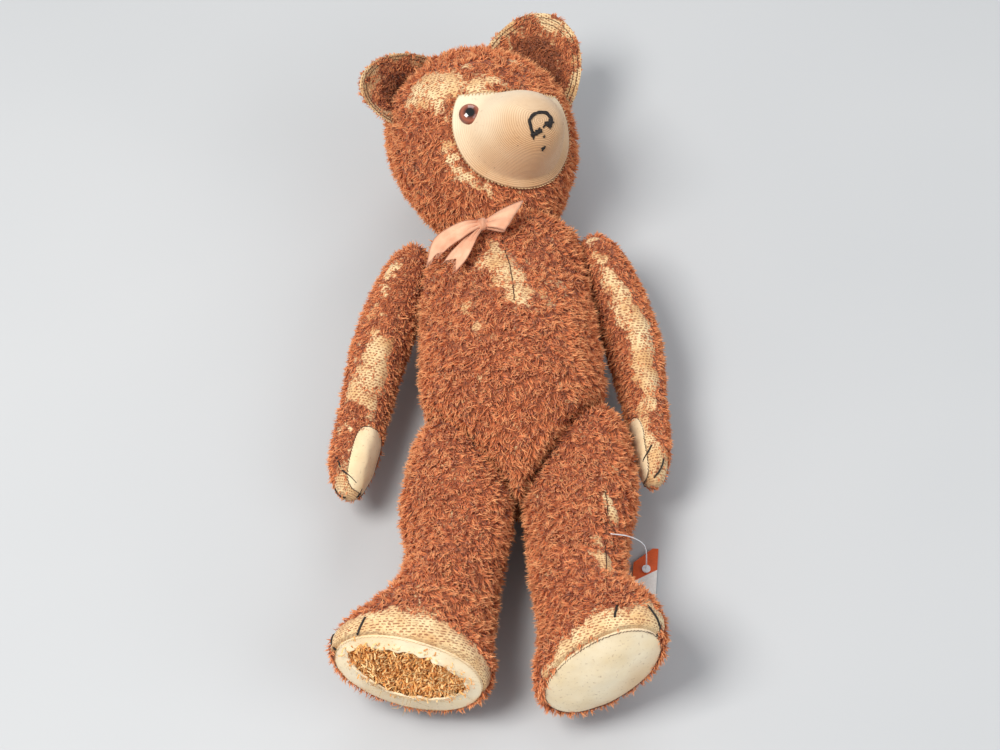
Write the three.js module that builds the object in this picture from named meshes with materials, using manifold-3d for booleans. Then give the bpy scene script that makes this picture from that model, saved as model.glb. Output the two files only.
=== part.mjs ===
// A threadbare, disc-jointed teddy bear lying on its back: mohair covers round wood-wool stuffing, with a
// hardboard disc joint at the neck, the shoulders and the hips, glass eyes, a knitted face mask, felt pads
// and a neck ribbon.
// Millimetres. +X is the bear's left, +Y runs from the seat to the head, +Z is the bear's front.
// The origin is the middle of the flat that the back rests on.
import * as THREE from "three";
import { mergeVertices } from "three/addons/utils/BufferGeometryUtils.js";
import Module from "manifold-3d";

const wasm = await Module();
wasm.setup();

// ---- driving dimensions ----
const LEFT = 1;
const RIGHT = -1;
const CLOTH = 2.6; // mohair backing and matted pile
const MESH_GAP = 0.3; // between pieces that touch
const STUFFING_GAP = 0.9;
const JOINT_GAP = 0.75; // from a joint's plane to each of the two covers
const DISC = 2.4; // hardboard
const WASHER = 1.0;
const PIN_RADIUS = 1.3;
const PIN_HOLE = 2.0;
const degrees = THREE.MathUtils.degToRad;

const shoulder = { x: 57, y: 76, z: 52, disc: 10.6, drop: degrees(8) };
const splay = { left: degrees(5), right: degrees(14) };
const hip = { x: 32, y: -66, z: 46, disc: 15.2, tilt: degrees(40) };
const neck = { x: 2, y: 113, z: 60, disc: 22, lean: degrees(6), roll: degrees(9), turn: degrees(22) };

const foot = {
  soleTilt: degrees(13), // the toe is higher up the leg than the heel
  dome: 7, // how far the stuffing pushes the felt out
  // ahead: how far the foot's middle is in front of the leg's; drop: hip joint to the middle of the sole;
  // roll: how far the sole faces up;
  // edge: how far the cover turns in round the felt
  left: {
    turn: degrees(46), long: 48, wide: 35, out: 13, lean: degrees(-6.5),
    instep: 0, ahead: 26.5, drop: 178, roll: 0, edge: 3.5,
  },
  right: {
    turn: degrees(72), long: 52.5, wide: 37, out: 8, lean: degrees(3.5),
    instep: 4, ahead: 28, drop: 166, roll: degrees(7), edge: 2.5,
  },
};
const face = { pitch: degrees(22), browHeight: 23.5, maskHalf: 45, maskDrop: 46, browHalf: 36 };
const ear = {
  thick: 4.5,
  left: {
    wide: 38, tall: 56, cup: 12,
    at: [45, 54, 8], across: [0.845, -0.535, 0], out: [0.51, 0.73, 0.455],
  },
  right: {
    wide: 28, tall: 46, cup: 18,
    at: [-53, 43, 3], across: [-0.12, -0.85, -0.53], out: [-0.95, -0.06, 0.31],
  },
};
const eye = { x: 34, y: 7.5, radius: 8, dome: 4.5, stem: 9 };
const tagCard = { wide: 16.5, tall: 62, thick: 0.8, corner: [68, -180, 2], turn: degrees(-8) };
const ribbon = { wide: 24, thick: 1.2, bandRadius: 41.5, bandHalf: 2.6 };

// ---- materials ----
const finish = (color, roughness, metalness = 0) =>
  new THREE.MeshStandardMaterial({ color, roughness, metalness });
const mohair = finish(0x8a4528, 0.95);
const knit = finish(0xd9c193, 0.9);
const felt = finish(0xe3d3aa, 0.95);
const woodWool = finish(0xc98b48, 0.9);
const hardboard = finish(0x6b4a30, 0.85);
const steel = finish(0x8f8f90, 0.4, 0.9);
const glass = finish(0x7a3f1e, 0.08);
const thread = finish(0x15110f, 0.7);
const satin = finish(0xd9957a, 0.5);
const card = finish(0xf0ece6, 0.7);
const nylon = finish(0xe8e8e8, 0.3);

// ---- solids ----
function solidOf(geometry) {
  const bare = geometry.clone();
  bare.deleteAttribute("normal");
  bare.deleteAttribute("uv");
  const merged = mergeVertices(bare, 1e-4);
  const mesh = new wasm.Mesh({
    numProp: 3,
    vertProperties: merged.attributes.position.array,
    triVerts: new Uint32Array(merged.index.array),
  });
  return new wasm.Manifold(mesh);
}

function geometryOf(solid) {
  const mesh = solid.getMesh();
  return new THREE.BufferGeometry()
    .setAttribute("position", new THREE.BufferAttribute(mesh.vertProperties, 3))
    .setIndex(new THREE.BufferAttribute(mesh.triVerts, 1));
}

function node(name, shape, material) {
  const geometry = shape.isBufferGeometry ? shape : geometryOf(shape);
  const mesh = new THREE.Mesh(geometry, material);
  mesh.name = name;
  return mesh;
}

// ---- stuffed forms ----
// A sphere's grid drawn out along a line of stations. Each station is
// [y, x, z, half width, half depth, turn about y in radians]; fullness under 1 makes the ends blunter.
// The half sizes hold at every station but the first and last, where the form closes.
function stuffedForm(stations, around, along, fullness) {
  const last = stations.length - 1;
  const closing = (i) => (i === 0 || i === last ? 1 : Math.sqrt(1 - (1 - (2 * i) / last) ** 2) ** fullness);
  const middle = new THREE.CatmullRomCurve3(stations.map(([y, x, z]) => new THREE.Vector3(x, y, z)));
  const size = new THREE.CatmullRomCurve3(
    stations.map(
      ([, , , wide, deep, turn = 0], i) => new THREE.Vector3(wide / closing(i), turn, deep / closing(i)),
    ),
  );
  const ball = new THREE.SphereGeometry(1, around, along);
  ball.deleteAttribute("normal");
  ball.deleteAttribute("uv");
  const form = mergeVertices(ball, 1e-4);
  const place = form.attributes.position;
  for (let i = 0; i < place.count; i++) {
    const ring = Math.hypot(place.getX(i), place.getZ(i));
    const swell = ring > 1e-3 ? ring ** fullness / ring : 0;
    const t = THREE.MathUtils.clamp((1 - place.getY(i)) / 2, 0, 1);
    const at = middle.getPoint(t);
    const half = size.getPoint(t);
    const across = place.getX(i) * swell * half.x;
    const front = place.getZ(i) * swell * half.z;
    const [c, s] = [Math.cos(half.y), Math.sin(half.y)];
    place.setXYZ(i, at.x + across * c + front * s, at.y, at.z - across * s + front * c);
  }
  return form;
}

// The form again with each point moved along its normal, inwards for a negative distance.
function offsetForm(form, distance) {
  const moved = form.clone();
  moved.computeVertexNormals();
  const place = moved.attributes.position;
  const normal = moved.attributes.normal;
  for (let i = 0; i < place.count; i++) {
    place.setXYZ(
      i,
      place.getX(i) + normal.getX(i) * distance,
      place.getY(i) + normal.getY(i) * distance,
      place.getZ(i) + normal.getZ(i) * distance,
    );
  }
  moved.deleteAttribute("normal");
  return moved;
}

// Presses whatever lies past a plane back onto it. The normal points out of what is kept. Where the flat has
// a swell, the pressed face domes outwards by that much: {height, toe, long, wide}.
function pressed(form, { point, normal, swell }, back = 0) {
  const flat = form.clone();
  const place = flat.attributes.position;
  const p = new THREE.Vector3();
  for (let i = 0; i < place.count; i++) {
    p.fromBufferAttribute(place, i).sub(point);
    const past = p.dot(normal) + back;
    if (past <= 0) continue;
    p.addScaledVector(normal, -past);
    if (swell) {
      const lengthwise = p.dot(swell.toe);
      const crosswise = Math.sqrt(Math.max(0, p.lengthSq() - lengthwise ** 2 - back ** 2));
      const out = (lengthwise / swell.long) ** 2 + (crosswise / swell.wide) ** 2;
      p.addScaledVector(normal, swell.height * Math.max(0, 1 - out));
    }
    place.setXYZ(i, ...p.add(point).toArray());
  }
  return flat;
}

// The same stuffed form at three depths: the cover's outside, the cavity in it, and the stuffing in that.
// Each flat is the plane that presses the form there. What lies on the cover has to clear the fourth.
function layersOf(form, flats) {
  const atDepth = (depth) =>
    flats.reduce((made, flat) => pressed(made, flat, depth), offsetForm(form, -depth));
  return {
    outside: solidOf(atDepth(0)),
    cavity: solidOf(atDepth(CLOTH)),
    stuffing: solidOf(atDepth(CLOTH + STUFFING_GAP)),
    clearance: solidOf(atDepth(-MESH_GAP)),
  };
}

// ---- disc joint ----
const X_AXIS = new THREE.Vector3(1, 0, 0);
const along = (axis) => new THREE.Quaternion().setFromUnitVectors(X_AXIS, axis);

// A ring or rod about the X axis, from one X to another, as a lathe profile that closes on itself.
function turned(from, to, outer, inner, segments) {
  const profile = [
    [inner, from],
    [outer, from],
    [outer, to],
    [inner, to],
    [inner, from],
  ].map(([r, y]) => new THREE.Vector2(r, y));
  return new THREE.LatheGeometry(inner > 0 ? profile : profile.slice(0, 4), segments).rotateZ(-Math.PI / 2);
}

// Distances from the joint's plane to each layer, on one side.
const discAt = JOINT_GAP + CLOTH + MESH_GAP;
const washerAt = discAt + DISC + MESH_GAP;
const pinAt = washerAt + WASHER + MESH_GAP;

// The cotter pin: an eye behind the limb's washer, a shank through the joint, and two legs curled in the
// body.
function cotterPin() {
  const wire = (points, radius) => {
    const circle = new THREE.Shape().absarc(0, 0, radius, 0, 2 * Math.PI, false);
    const path = new THREE.CatmullRomCurve3(points.map(([x, y, z]) => new THREE.Vector3(x, y, z)));
    return solidOf(
      new THREE.ExtrudeGeometry(circle, { steps: 4, curveSegments: 2, extrudePath: path }),
    );
  };
  const curl = (side) =>
    wire(
      [
        [-pinAt + 1, side * 0.2, 0],
        [-pinAt - 2, side * 1.5, 0],
        [-pinAt - 3.2, side * 4.5, 0],
        [-pinAt - 1.6, side * 7, 0],
      ],
      0.9,
    );
  const head = solidOf(turned(pinAt, pinAt + 2.5, 3.6, 0, 8));
  const shank = solidOf(turned(-pinAt - 0.6, pinAt + 1, PIN_RADIUS, 0, 6));
  return shank.add(head).add(curl(1)).add(curl(-1));
}

// One joint's hardware, along an axis that points from the body into the limb. The pin rides with the limb.
function jointParts(name, discRadius, point, axis) {
  const turn = along(axis);
  const piece = (part, shape, material) => {
    const made = node(`${name}_${part}`, shape, material);
    made.position.copy(point);
    made.quaternion.copy(turn);
    return made;
  };
  const disc = (from) => turned(from, from + DISC, discRadius, PIN_HOLE, 12);
  const washer = (from) => turned(from, from + WASHER, 6, PIN_HOLE, 8);
  return {
    body: [
      piece("body_disc", disc(-discAt - DISC), hardboard),
      piece("body_washer", washer(-washerAt - WASHER), steel),
    ],
    limb: [
      piece("limb_disc", disc(discAt), hardboard),
      piece("limb_washer", washer(washerAt), steel),
      piece("cotter_pin", cotterPin(), steel),
    ],
  };
}

// What the stuffing and the cover give way to round a joint.
function jointCut(discRadius, point, axis) {
  const place = (geometry) =>
    solidOf(geometry.applyQuaternion(along(axis)).translate(...point.toArray()));
  const room = pinAt + 5;
  return {
    hole: place(turned(-room, room, PIN_HOLE, 0, 8)),
    pocket: place(turned(-washerAt, washerAt, discRadius + 0.8, 0, 12)).add(
      place(turned(-room, room, 9, 0, 10)),
    ),
  };
}

const flatOf = (point, outward) => ({
  point: point.clone().addScaledVector(outward, -JOINT_GAP),
  normal: outward,
});

// ---- joint places, in the part's frame ----
const neckPoint = new THREE.Vector3(neck.x, neck.y, neck.z);
const neckTurn = new THREE.Euler(neck.lean, 0, neck.roll, "ZXY");
const neckAxis = new THREE.Vector3(0, 1, 0).applyEuler(neckTurn);

function shoulderJoint(side) {
  const out = side === LEFT ? splay.left : splay.right;
  return {
    splay: out,
    point: new THREE.Vector3(side * shoulder.x, shoulder.y, shoulder.z),
    axis: new THREE.Vector3(side * Math.cos(out), Math.sin(out), 0),
  };
}

function hipJoint(side) {
  return {
    point: new THREE.Vector3(side * hip.x, hip.y, hip.z),
    axis: new THREE.Vector3(side * Math.cos(hip.tilt), -Math.sin(hip.tilt), 0),
  };
}

const bodyJoints = {
  neck: { point: neckPoint, axis: neckAxis, disc: neck.disc },
  left_shoulder: { ...shoulderJoint(LEFT), disc: shoulder.disc },
  right_shoulder: { ...shoulderJoint(RIGHT), disc: shoulder.disc },
  left_hip: { ...hipJoint(LEFT), disc: hip.disc },
  right_hip: { ...hipJoint(RIGHT), disc: hip.disc },
};

// ---- torso ----
function torso() {
  const stations = [
    // y, x, z, half width, half depth: from the neck to the seat
    [126, 1, 58, 58, 52],
    [104, 1, 57, 54, 43],
    [70, 0, 54, 62, 51],
    [22, 0, 55, 63, 58],
    [-24, 0, 57, 64, 60],
    [-62, 0, 54, 55, 52],
    [-90, 0, 50, 36, 40],
    [-108, 0, 48, 40, 42],
  ];
  const form = stuffedForm(stations, 18, 11, 0.6);
  const floor = { point: new THREE.Vector3(0, 0, 0), normal: new THREE.Vector3(0, 0, -1) };
  const joints = Object.values(bodyJoints);
  const layers = layersOf(form, [floor, ...joints.map(({ point, axis }) => flatOf(point, axis))]);
  const cuts = joints.map(({ disc, point, axis }) => jointCut(disc, point, axis));
  const cover = cuts.reduce((made, { hole }) => made.subtract(hole), layers.outside.subtract(layers.cavity));
  const stuffing = cuts.reduce((made, { pocket }) => made.subtract(pocket), layers.stuffing);
  const nodes = [node("torso_cover", cover, mohair), node("torso_stuffing", stuffing, woodWool)];
  return { nodes, clearance: layers.clearance };
}

// ---- head, in the neck joint's frame: +Y up the head, +Z the way the face looks, before its pitch ----
const HEAD_MIDDLE = 80; // up the neck's axis
const faceTurn = new THREE.Euler(face.pitch, 0, 0);
const facePoint = (x, y, z) =>
  new THREE.Vector3(x, y, z).applyEuler(faceTurn).add(new THREE.Vector3(0, HEAD_MIDDLE, 0));

function headForm() {
  const stations = [
    // from the crown to the neck
    [148, 0, -4, 66, 62],
    [136, 0, -2, 50, 47],
    [112, 0, 0, 66, 63],
    [80, 0, 2, 70, 67],
    [46, 0, 3, 63, 58],
    [14, 0, 1, 45, 42],
    [-14, 0, 0, 46, 46],
  ];
  return stuffedForm(stations, 18, 11, 0.6);
}

// The snout is a blunt cone that stands out of the head along the face's own forward direction.
function snoutForm(shrink) {
  const snout = { back: 24, tip: 101, rootWide: 41, rootTall: 38, tipWide: 27, tipTall: 25 };
  const stations = [
    [snout.tip - shrink, 0, 4, snout.tipWide - shrink, snout.tipTall - shrink],
    [84, 0, 5, snout.tipWide - shrink, snout.tipTall - shrink],
    [62, 0, 8, 35 - shrink, 33 - shrink],
    [44, 0, 9, snout.rootWide - shrink, snout.rootTall - shrink],
    [snout.back, 0, 8, 40 - shrink, 38 - shrink],
  ];
  // built pointing up +Y, then laid over so that it points along +Z with its underside towards the chest
  return stuffedForm(stations, 12, 8, 0.62).rotateX(Math.PI / 2);
}

function placedSnout(shrink) {
  return solidOf(snoutForm(shrink).rotateX(face.pitch).translate(0, HEAD_MIDDLE, 0));
}

// The mask's outline seen along the face's forward direction: straight at the brow, round at the cheeks and
// chin.
function maskCutter(shrink) {
  const outline = new THREE.Shape();
  const half = face.maskHalf - shrink;
  const brow = face.browHeight - shrink;
  outline.moveTo(-face.browHalf + shrink, brow);
  outline.bezierCurveTo(-half - 6, 8, -half - 2, -26, -24, -face.maskDrop + 7 + shrink);
  outline.quadraticCurveTo(0, -face.maskDrop - 6 + shrink, 24, -face.maskDrop + 7 + shrink);
  outline.bezierCurveTo(half + 2, -26, half + 6, 8, face.browHalf - shrink, brow);
  outline.lineTo(-face.browHalf + shrink, brow);
  const prism = new THREE.ExtrudeGeometry(outline, { depth: 100, bevelEnabled: false, curveSegments: 7 });
  return solidOf(prism.translate(0, 0, 20).rotateX(face.pitch).translate(0, HEAD_MIDDLE, 0));
}

// A glass eye on a wire stem, made about the Z axis with the dome forwards.
function glassEye() {
  const dome = new THREE.SplineCurve([
    new THREE.Vector2(eye.radius, 0.6),
    new THREE.Vector2(eye.radius * 0.8, eye.dome * 0.72),
    new THREE.Vector2(eye.radius * 0.42, eye.dome * 0.96),
    new THREE.Vector2(0, eye.dome),
  ]).getPoints(4);
  const profile = [
    new THREE.Vector2(0, -eye.stem),
    new THREE.Vector2(1, -eye.stem),
    new THREE.Vector2(1, 0),
  ];
  profile.push(new THREE.Vector2(eye.radius * 0.9, 0), ...dome.slice(0, -1), new THREE.Vector2(0, eye.dome));
  return new THREE.LatheGeometry(profile, 14).rotateX(Math.PI / 2);
}

// An ear is a cupped half oval that faces forwards, cut at its base to sit on the head.
function earForm(side, headOutside) {
  const own = side === LEFT ? ear.left : ear.right;
  const flat = new THREE.SphereGeometry(1, 14, 8).rotateX(Math.PI / 2).scale(own.wide, own.tall, ear.thick);
  flat.deleteAttribute("normal");
  flat.deleteAttribute("uv");
  const form = mergeVertices(flat, 1e-4);
  const place = form.attributes.position;
  for (let i = 0; i < place.count; i++) {
    const [x, y] = [place.getX(i) / own.wide, Math.max(place.getY(i), 0) / own.tall];
    place.setZ(i, place.getZ(i) + own.cup * (x * x + 0.6 * y * y - 0.3));
  }
  const across = new THREE.Vector3(...own.across).normalize();
  const front = across.clone().cross(new THREE.Vector3(...own.out)).normalize();
  if (side === RIGHT) across.negate();
  const facing = side === RIGHT ? front.negate() : front;
  const out = new THREE.Vector3().crossVectors(facing, across);
  form.applyMatrix4(new THREE.Matrix4().makeBasis(across, out, facing));
  form.translate(own.at[0], HEAD_MIDDLE + own.at[1], own.at[2]);
  return solidOf(form).subtract(headOutside);
}

// The worn outline of the embroidered nose: one thread, open at the bottom.
function noseThread() {
  const points = [
    [-2.5, -9.5],
    [-8.5, -10.5],
    [-11, -4],
    [-8, 3],
    [0, 6],
    [8, 4],
    [10, -2],
    [7, -7],
    [2, -7],
  ].map(([x, y]) => new THREE.Vector3(x, y - 5, 0));
  const circle = new THREE.Shape().absarc(0, 0, 0.9, 0, 2 * Math.PI, false);
  const path = new THREE.CatmullRomCurve3(points);
  const tube = new THREE.ExtrudeGeometry(circle, { steps: 18, curveSegments: 2, extrudePath: path });
  tube.deleteAttribute("normal");
  tube.deleteAttribute("uv");
  const form = mergeVertices(tube, 1e-4);
  const place = form.attributes.position;
  for (let i = 0; i < place.count; i++) {
    const [x, y] = [place.getX(i), place.getY(i)];
    place.setZ(i, place.getZ(i) + 103.2 - (x * x + y * y) * 0.015);
  }
  return form.rotateX(face.pitch).translate(0, HEAD_MIDDLE, 0);
}

function head() {
  const up = new THREE.Vector3(0, 1, 0);
  const down = new THREE.Vector3(0, -1, 0);
  const origin = new THREE.Vector3();
  const layers = layersOf(headForm(), [flatOf(origin, down)]);
  const outside = layers.outside.add(placedSnout(0));
  const cavity = layers.cavity.add(placedSnout(CLOTH));
  const cut = jointCut(neck.disc, origin, up);
  const shell = outside.subtract(cavity).subtract(cut.hole);
  const stuffing = layers.stuffing.add(placedSnout(CLOTH + MESH_GAP)).subtract(cut.pocket);

  const eyes = [RIGHT, LEFT].map((side) => {
    const depth = 58.5;
    const spot = facePoint(side * eye.x, eye.y, depth);
    const look = new THREE.Vector3(side * 0.42, 0.12, 1).applyEuler(faceTurn).normalize();
    const aim = new THREE.Quaternion().setFromUnitVectors(new THREE.Vector3(0, 0, 1), look);
    const stemRoom = solidOf(
      new THREE.CylinderGeometry(1.5, 1.5, 2 * eye.stem + 2, 10)
        .rotateX(Math.PI / 2)
        .applyQuaternion(aim)
        .translate(...spot.toArray()),
    ).add(
      solidOf(
        new THREE.CylinderGeometry(eye.radius + MESH_GAP, eye.radius + MESH_GAP, 12, 14)
          .rotateX(Math.PI / 2)
          .translate(0, 0, 6 - MESH_GAP)
          .applyQuaternion(aim)
          .translate(...spot.toArray()),
      ),
    );
    const made = node(side === LEFT ? "left_eye" : "right_eye", glassEye(), glass);
    made.position.copy(spot);
    made.quaternion.copy(aim);
    return { made, stemRoom };
  });
  const holed = (solid) => eyes.reduce((left, { stemRoom }) => left.subtract(stemRoom), solid);
  const clearance = layers.clearance.add(placedSnout(-MESH_GAP));

  const group = new THREE.Group();
  group.add(
    node("head_cover", shell.subtract(maskCutter(0)), mohair),
    node("face_mask", holed(shell.intersect(maskCutter(MESH_GAP))), knit),
    node("head_stuffing", holed(stuffing), woodWool),
    ...eyes.map(({ made }) => made),
    node("left_ear", earForm(LEFT, clearance), mohair),
    node("right_ear", earForm(RIGHT, clearance), mohair),
    node("nose_thread", solidOf(noseThread()).subtract(clearance), thread),
    ...jointParts("neck", neck.disc, origin, up).limb,
  );
  group.position.copy(neckPoint);
  group.rotation.set(neck.lean, neck.turn, neck.roll, "ZXY");
  return group;
}

// ---- arms, in the shoulder joint's frame: +X out of the body for the left arm, -Y down the arm ----
function arm(side) {
  const name = side === LEFT ? "left" : "right";
  const joint = shoulderJoint(side);
  const bow = side === LEFT ? 4 : 2; // how far the forearm bends out before the paw comes back
  const turn = side * (side === LEFT ? 0.3 : 0.6); // the paw's twist, which brings its pad to the front
  const plump = side === LEFT ? 0 : 3; // how much fuller the right forearm is
  const stations = [
    // from the top of the shoulder to the tip of the paw
    [34, side * 12, 0, 17, 22, 0],
    [12, side * 13.5, 0, 19, 25, 0],
    [-24, side * (19 + 0.5 * bow), 0, 21.5, 25, 0],
    [-64, side * (21 + bow), 1, 21, 23, 0.15 * turn],
    [-108, side * (21 + bow), 3, 16 + plump * 0.5, 20, turn],
    [-146, side * (21 + 0.6 * bow), 8, 13.2 + plump, 18 + plump * 0.4, turn],
    [-173, side * 20, 11, 15 + plump * 0.6, 19, turn],
  ];
  const origin = new THREE.Vector3();
  const outward = new THREE.Vector3(side, 0, 0);
  const inward = new THREE.Vector3(-side, 0, 0);
  const layers = layersOf(stuffedForm(stations, 14, 12, 0.6), [flatOf(origin, inward)]);
  const cut = jointCut(shoulder.disc, origin, outward);
  const shell = layers.outside.subtract(layers.cavity).subtract(cut.hole);

  // the felt pad is the inner face of the paw, from the wrist to the tip
  const padCutter = (shrink) => {
    const outline = new THREE.Shape();
    const half = 15 - shrink;
    outline.moveTo(-half, -120 - shrink);
    outline.lineTo(half, -120 - shrink);
    outline.quadraticCurveTo(half + 3, -148, 6, -166 + shrink);
    outline.quadraticCurveTo(0, -170 + shrink, -6, -166 + shrink);
    outline.quadraticCurveTo(-half - 3, -148, -half, -120 - shrink);
    const prism = new THREE.ExtrudeGeometry(outline, { depth: 30, bevelEnabled: false, curveSegments: 5 });
    prism.translate(0, 0, 5 + shrink).rotateY(-side * (Math.PI / 2) + turn);
    return solidOf(prism.translate(side * (20 + 0.6 * bow), 0, 8));
  };
  const group = new THREE.Group();
  group.add(
    node(`${name}_arm_cover`, shell.subtract(padCutter(0)), mohair),
    node(`${name}_paw_pad`, shell.intersect(padCutter(MESH_GAP)), felt),
    node(`${name}_arm_stuffing`, layers.stuffing.subtract(cut.pocket), woodWool),
    ...jointParts(`${name}_shoulder`, shoulder.disc, origin, outward).limb,
  );
  group.position.copy(joint.point);
  group.rotation.set(shoulder.drop, 0, side * joint.splay, "ZYX");
  return group;
}

// Turns every face of an indexed or plain geometry over.
function flipped(geometry) {
  const turnedOver = geometry.index ? geometry.toNonIndexed() : geometry.clone();
  const place = turnedOver.attributes.position;
  for (let i = 0; i < place.count; i += 3) {
    const [x, y, z] = [place.getX(i), place.getY(i), place.getZ(i)];
    place.setXYZ(i, place.getX(i + 1), place.getY(i + 1), place.getZ(i + 1));
    place.setXYZ(i + 1, x, y, z);
  }
  return turnedOver;
}

// ---- legs, in the hip's frame: +X out for the left leg, -Y down the leg, turned feet ----
function leg(side) {
  const name = side === LEFT ? "left" : "right";
  const joint = hipJoint(side);
  const own = foot[name];
  const turn = side * own.turn;
  const toe = new THREE.Vector3(Math.sin(turn), 0, Math.cos(turn));
  // [down, out, towards the toe, half width, half length, share of the foot's turn]
  const plan = [
    [33, 1, 0, 36, 36, 0],
    [10, 1, 0, 31, 33, 0],
    [-34, 1, 0, 38.5, 37, 0],
    [-76, 0, 1, 34.5, 34, 0.25],
    [-108, 0, 6 + own.instep, 31.5, 35 + own.instep, 0.7],
    [-140, 0, own.ahead - 4 + own.instep, own.wide, own.long - 3 + own.instep, 1],
    [-own.drop - 6, 0, own.ahead, own.wide, own.long, 1],
    [-own.drop - 34, 0, own.ahead + 1, own.wide + 4, own.long + 4, 1],
  ];
  const stations = plan.map(([y, out, forward, wide, long, share]) => [
    y,
    side * (own.out + out - y * Math.tan(own.lean)) + forward * Math.sin(turn * share),
    forward * Math.cos(turn * share),
    wide,
    long,
    turn * share,
  ]);
  const origin = new THREE.Vector3();
  const axis = new THREE.Vector3(side * Math.cos(hip.tilt), -Math.sin(hip.tilt), 0);
  const tipped = foot.soleTilt;
  const level = new THREE.Vector3(0, -Math.cos(tipped), 0).addScaledVector(toe, Math.sin(tipped));
  const sole = {
    point: new THREE.Vector3(side * (own.out + own.drop * Math.tan(own.lean)), -own.drop, 0)
      .addScaledVector(toe, own.ahead),
    normal: level.applyAxisAngle(toe, -side * own.roll),
    swell: { height: foot.dome, toe, long: own.long, wide: own.wide },
  };
  const form = stuffedForm(stations, 15, 12, 0.6);
  const hipFlat = flatOf(origin, axis.clone().negate());
  const layers = layersOf(form, [hipFlat, sole]);
  const cut = jointCut(hip.disc, origin, axis);

  // the felt closes the open end of the leg: a slice of the shell, inside the cover's edge
  const slab = new THREE.BoxGeometry(180, 60, 180).translate(0, 30 - CLOTH - 4, 0);
  const turnTo = new THREE.Quaternion().setFromUnitVectors(new THREE.Vector3(0, 1, 0), sole.normal);
  const soleSlab = solidOf(slab.applyQuaternion(turnTo).translate(...sole.point.toArray()));
  const openEnd = (shrink) =>
    solidOf(pressed(offsetForm(form, -CLOTH - own.edge - shrink), hipFlat, CLOTH)).intersect(soleSlab);
  const closed = layers.outside.subtract(layers.cavity).subtract(cut.hole);
  const shell = closed.subtract(openEnd(0));
  const padBlank = closed.intersect(openEnd(MESH_GAP));
  const pad = side === RIGHT ? padBlank.subtract(tear(sole, toe)) : padBlank;
  const group = new THREE.Group();
  group.add(
    node(`${name}_leg_cover`, shell, mohair),
    node(`${name}_sole_pad`, pad, felt),
    node(`${name}_leg_stuffing`, layers.stuffing.subtract(cut.pocket), woodWool),
    ...jointParts(`${name}_hip`, hip.disc, origin, axis).limb,
  );
  group.position.copy(joint.point);
  return group;
}

// The split in the right sole: a leaf shape along the foot, with the lower lip of the felt sagging.
function tear(sole, toe) {
  const outline = new THREE.Shape();
  outline.moveTo(-32, 0);
  outline.bezierCurveTo(-19, 20, 14, 30, 37, 16);
  outline.bezierCurveTo(42, 6, 40, -8, 28, -15);
  outline.bezierCurveTo(7, -24, -21, -18, -32, 0);
  const prism = new THREE.ExtrudeGeometry(outline, { depth: 20, bevelEnabled: false, curveSegments: 6 });
  const across = new THREE.Vector3().crossVectors(sole.normal, toe).normalize();
  const along3 = new THREE.Vector3().crossVectors(across, sole.normal).normalize();
  const basis = new THREE.Matrix4().makeBasis(along3, across.clone().negate(), sole.normal.clone().negate());
  prism.translate(0, 0, -10).applyMatrix4(basis).translate(...sole.point.toArray());
  const solid = solidOf(prism);
  return solid.volume() < 0 ? solidOf(flipped(prism)) : solid;
}

// ---- ribbon: one length of satin round the neck, tied in front with one loop and two ends ----
function neckRibbon(torsoClearance) {
  const band = solidOf(
    turned(-ribbon.bandHalf, ribbon.bandHalf, ribbon.bandRadius + ribbon.thick, ribbon.bandRadius, 22)
      .applyQuaternion(along(neckAxis))
      .translate(...neckPoint.toArray()),
  );
  // a flat strip along a path in the part's frame
  const strip = (points, wide) => {
    const across = new THREE.Shape();
    across.moveTo(-ribbon.thick / 2, -wide / 2);
    across.lineTo(ribbon.thick / 2, -wide / 2);
    across.lineTo(ribbon.thick / 2, wide / 2);
    across.lineTo(-ribbon.thick / 2, wide / 2);
    across.lineTo(-ribbon.thick / 2, -wide / 2);
    const path = new THREE.CatmullRomCurve3(points.map(([x, y, z]) => new THREE.Vector3(x, y, z)));
    return solidOf(new THREE.ExtrudeGeometry(across, { steps: 4, extrudePath: path }));
  };
  const knot = solidOf(new THREE.SphereGeometry(1, 8, 6).scale(6, 6, 4.5).translate(-13, 86, 109));
  const tie = strip(
    [
        [-11, 113, 100.5],
      [-13, 99, 107],
      [-13, 86, 109],
    ],
    4,
  );
  const parts = [
    knot,
    tie,
    strip(
      [
        [-11, 86, 110],
        [3, 90, 113],
        [18, 94, 112],
      ],
      16,
    ),
    strip(
      [
        [-15, 86, 110],
        [-34, 80, 109],
        [-52, 66, 98],
      ],
      15,
    ),
    strip(
      [
        [-15, 84, 111],
        [-27, 71, 112],
        [-39, 55, 107],
      ],
      15,
    ),
  ];
  const tied = parts.reduce((made, part) => made.add(part), band);
  return node("neck_ribbon", tied.subtract(torsoClearance), satin);
}

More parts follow.
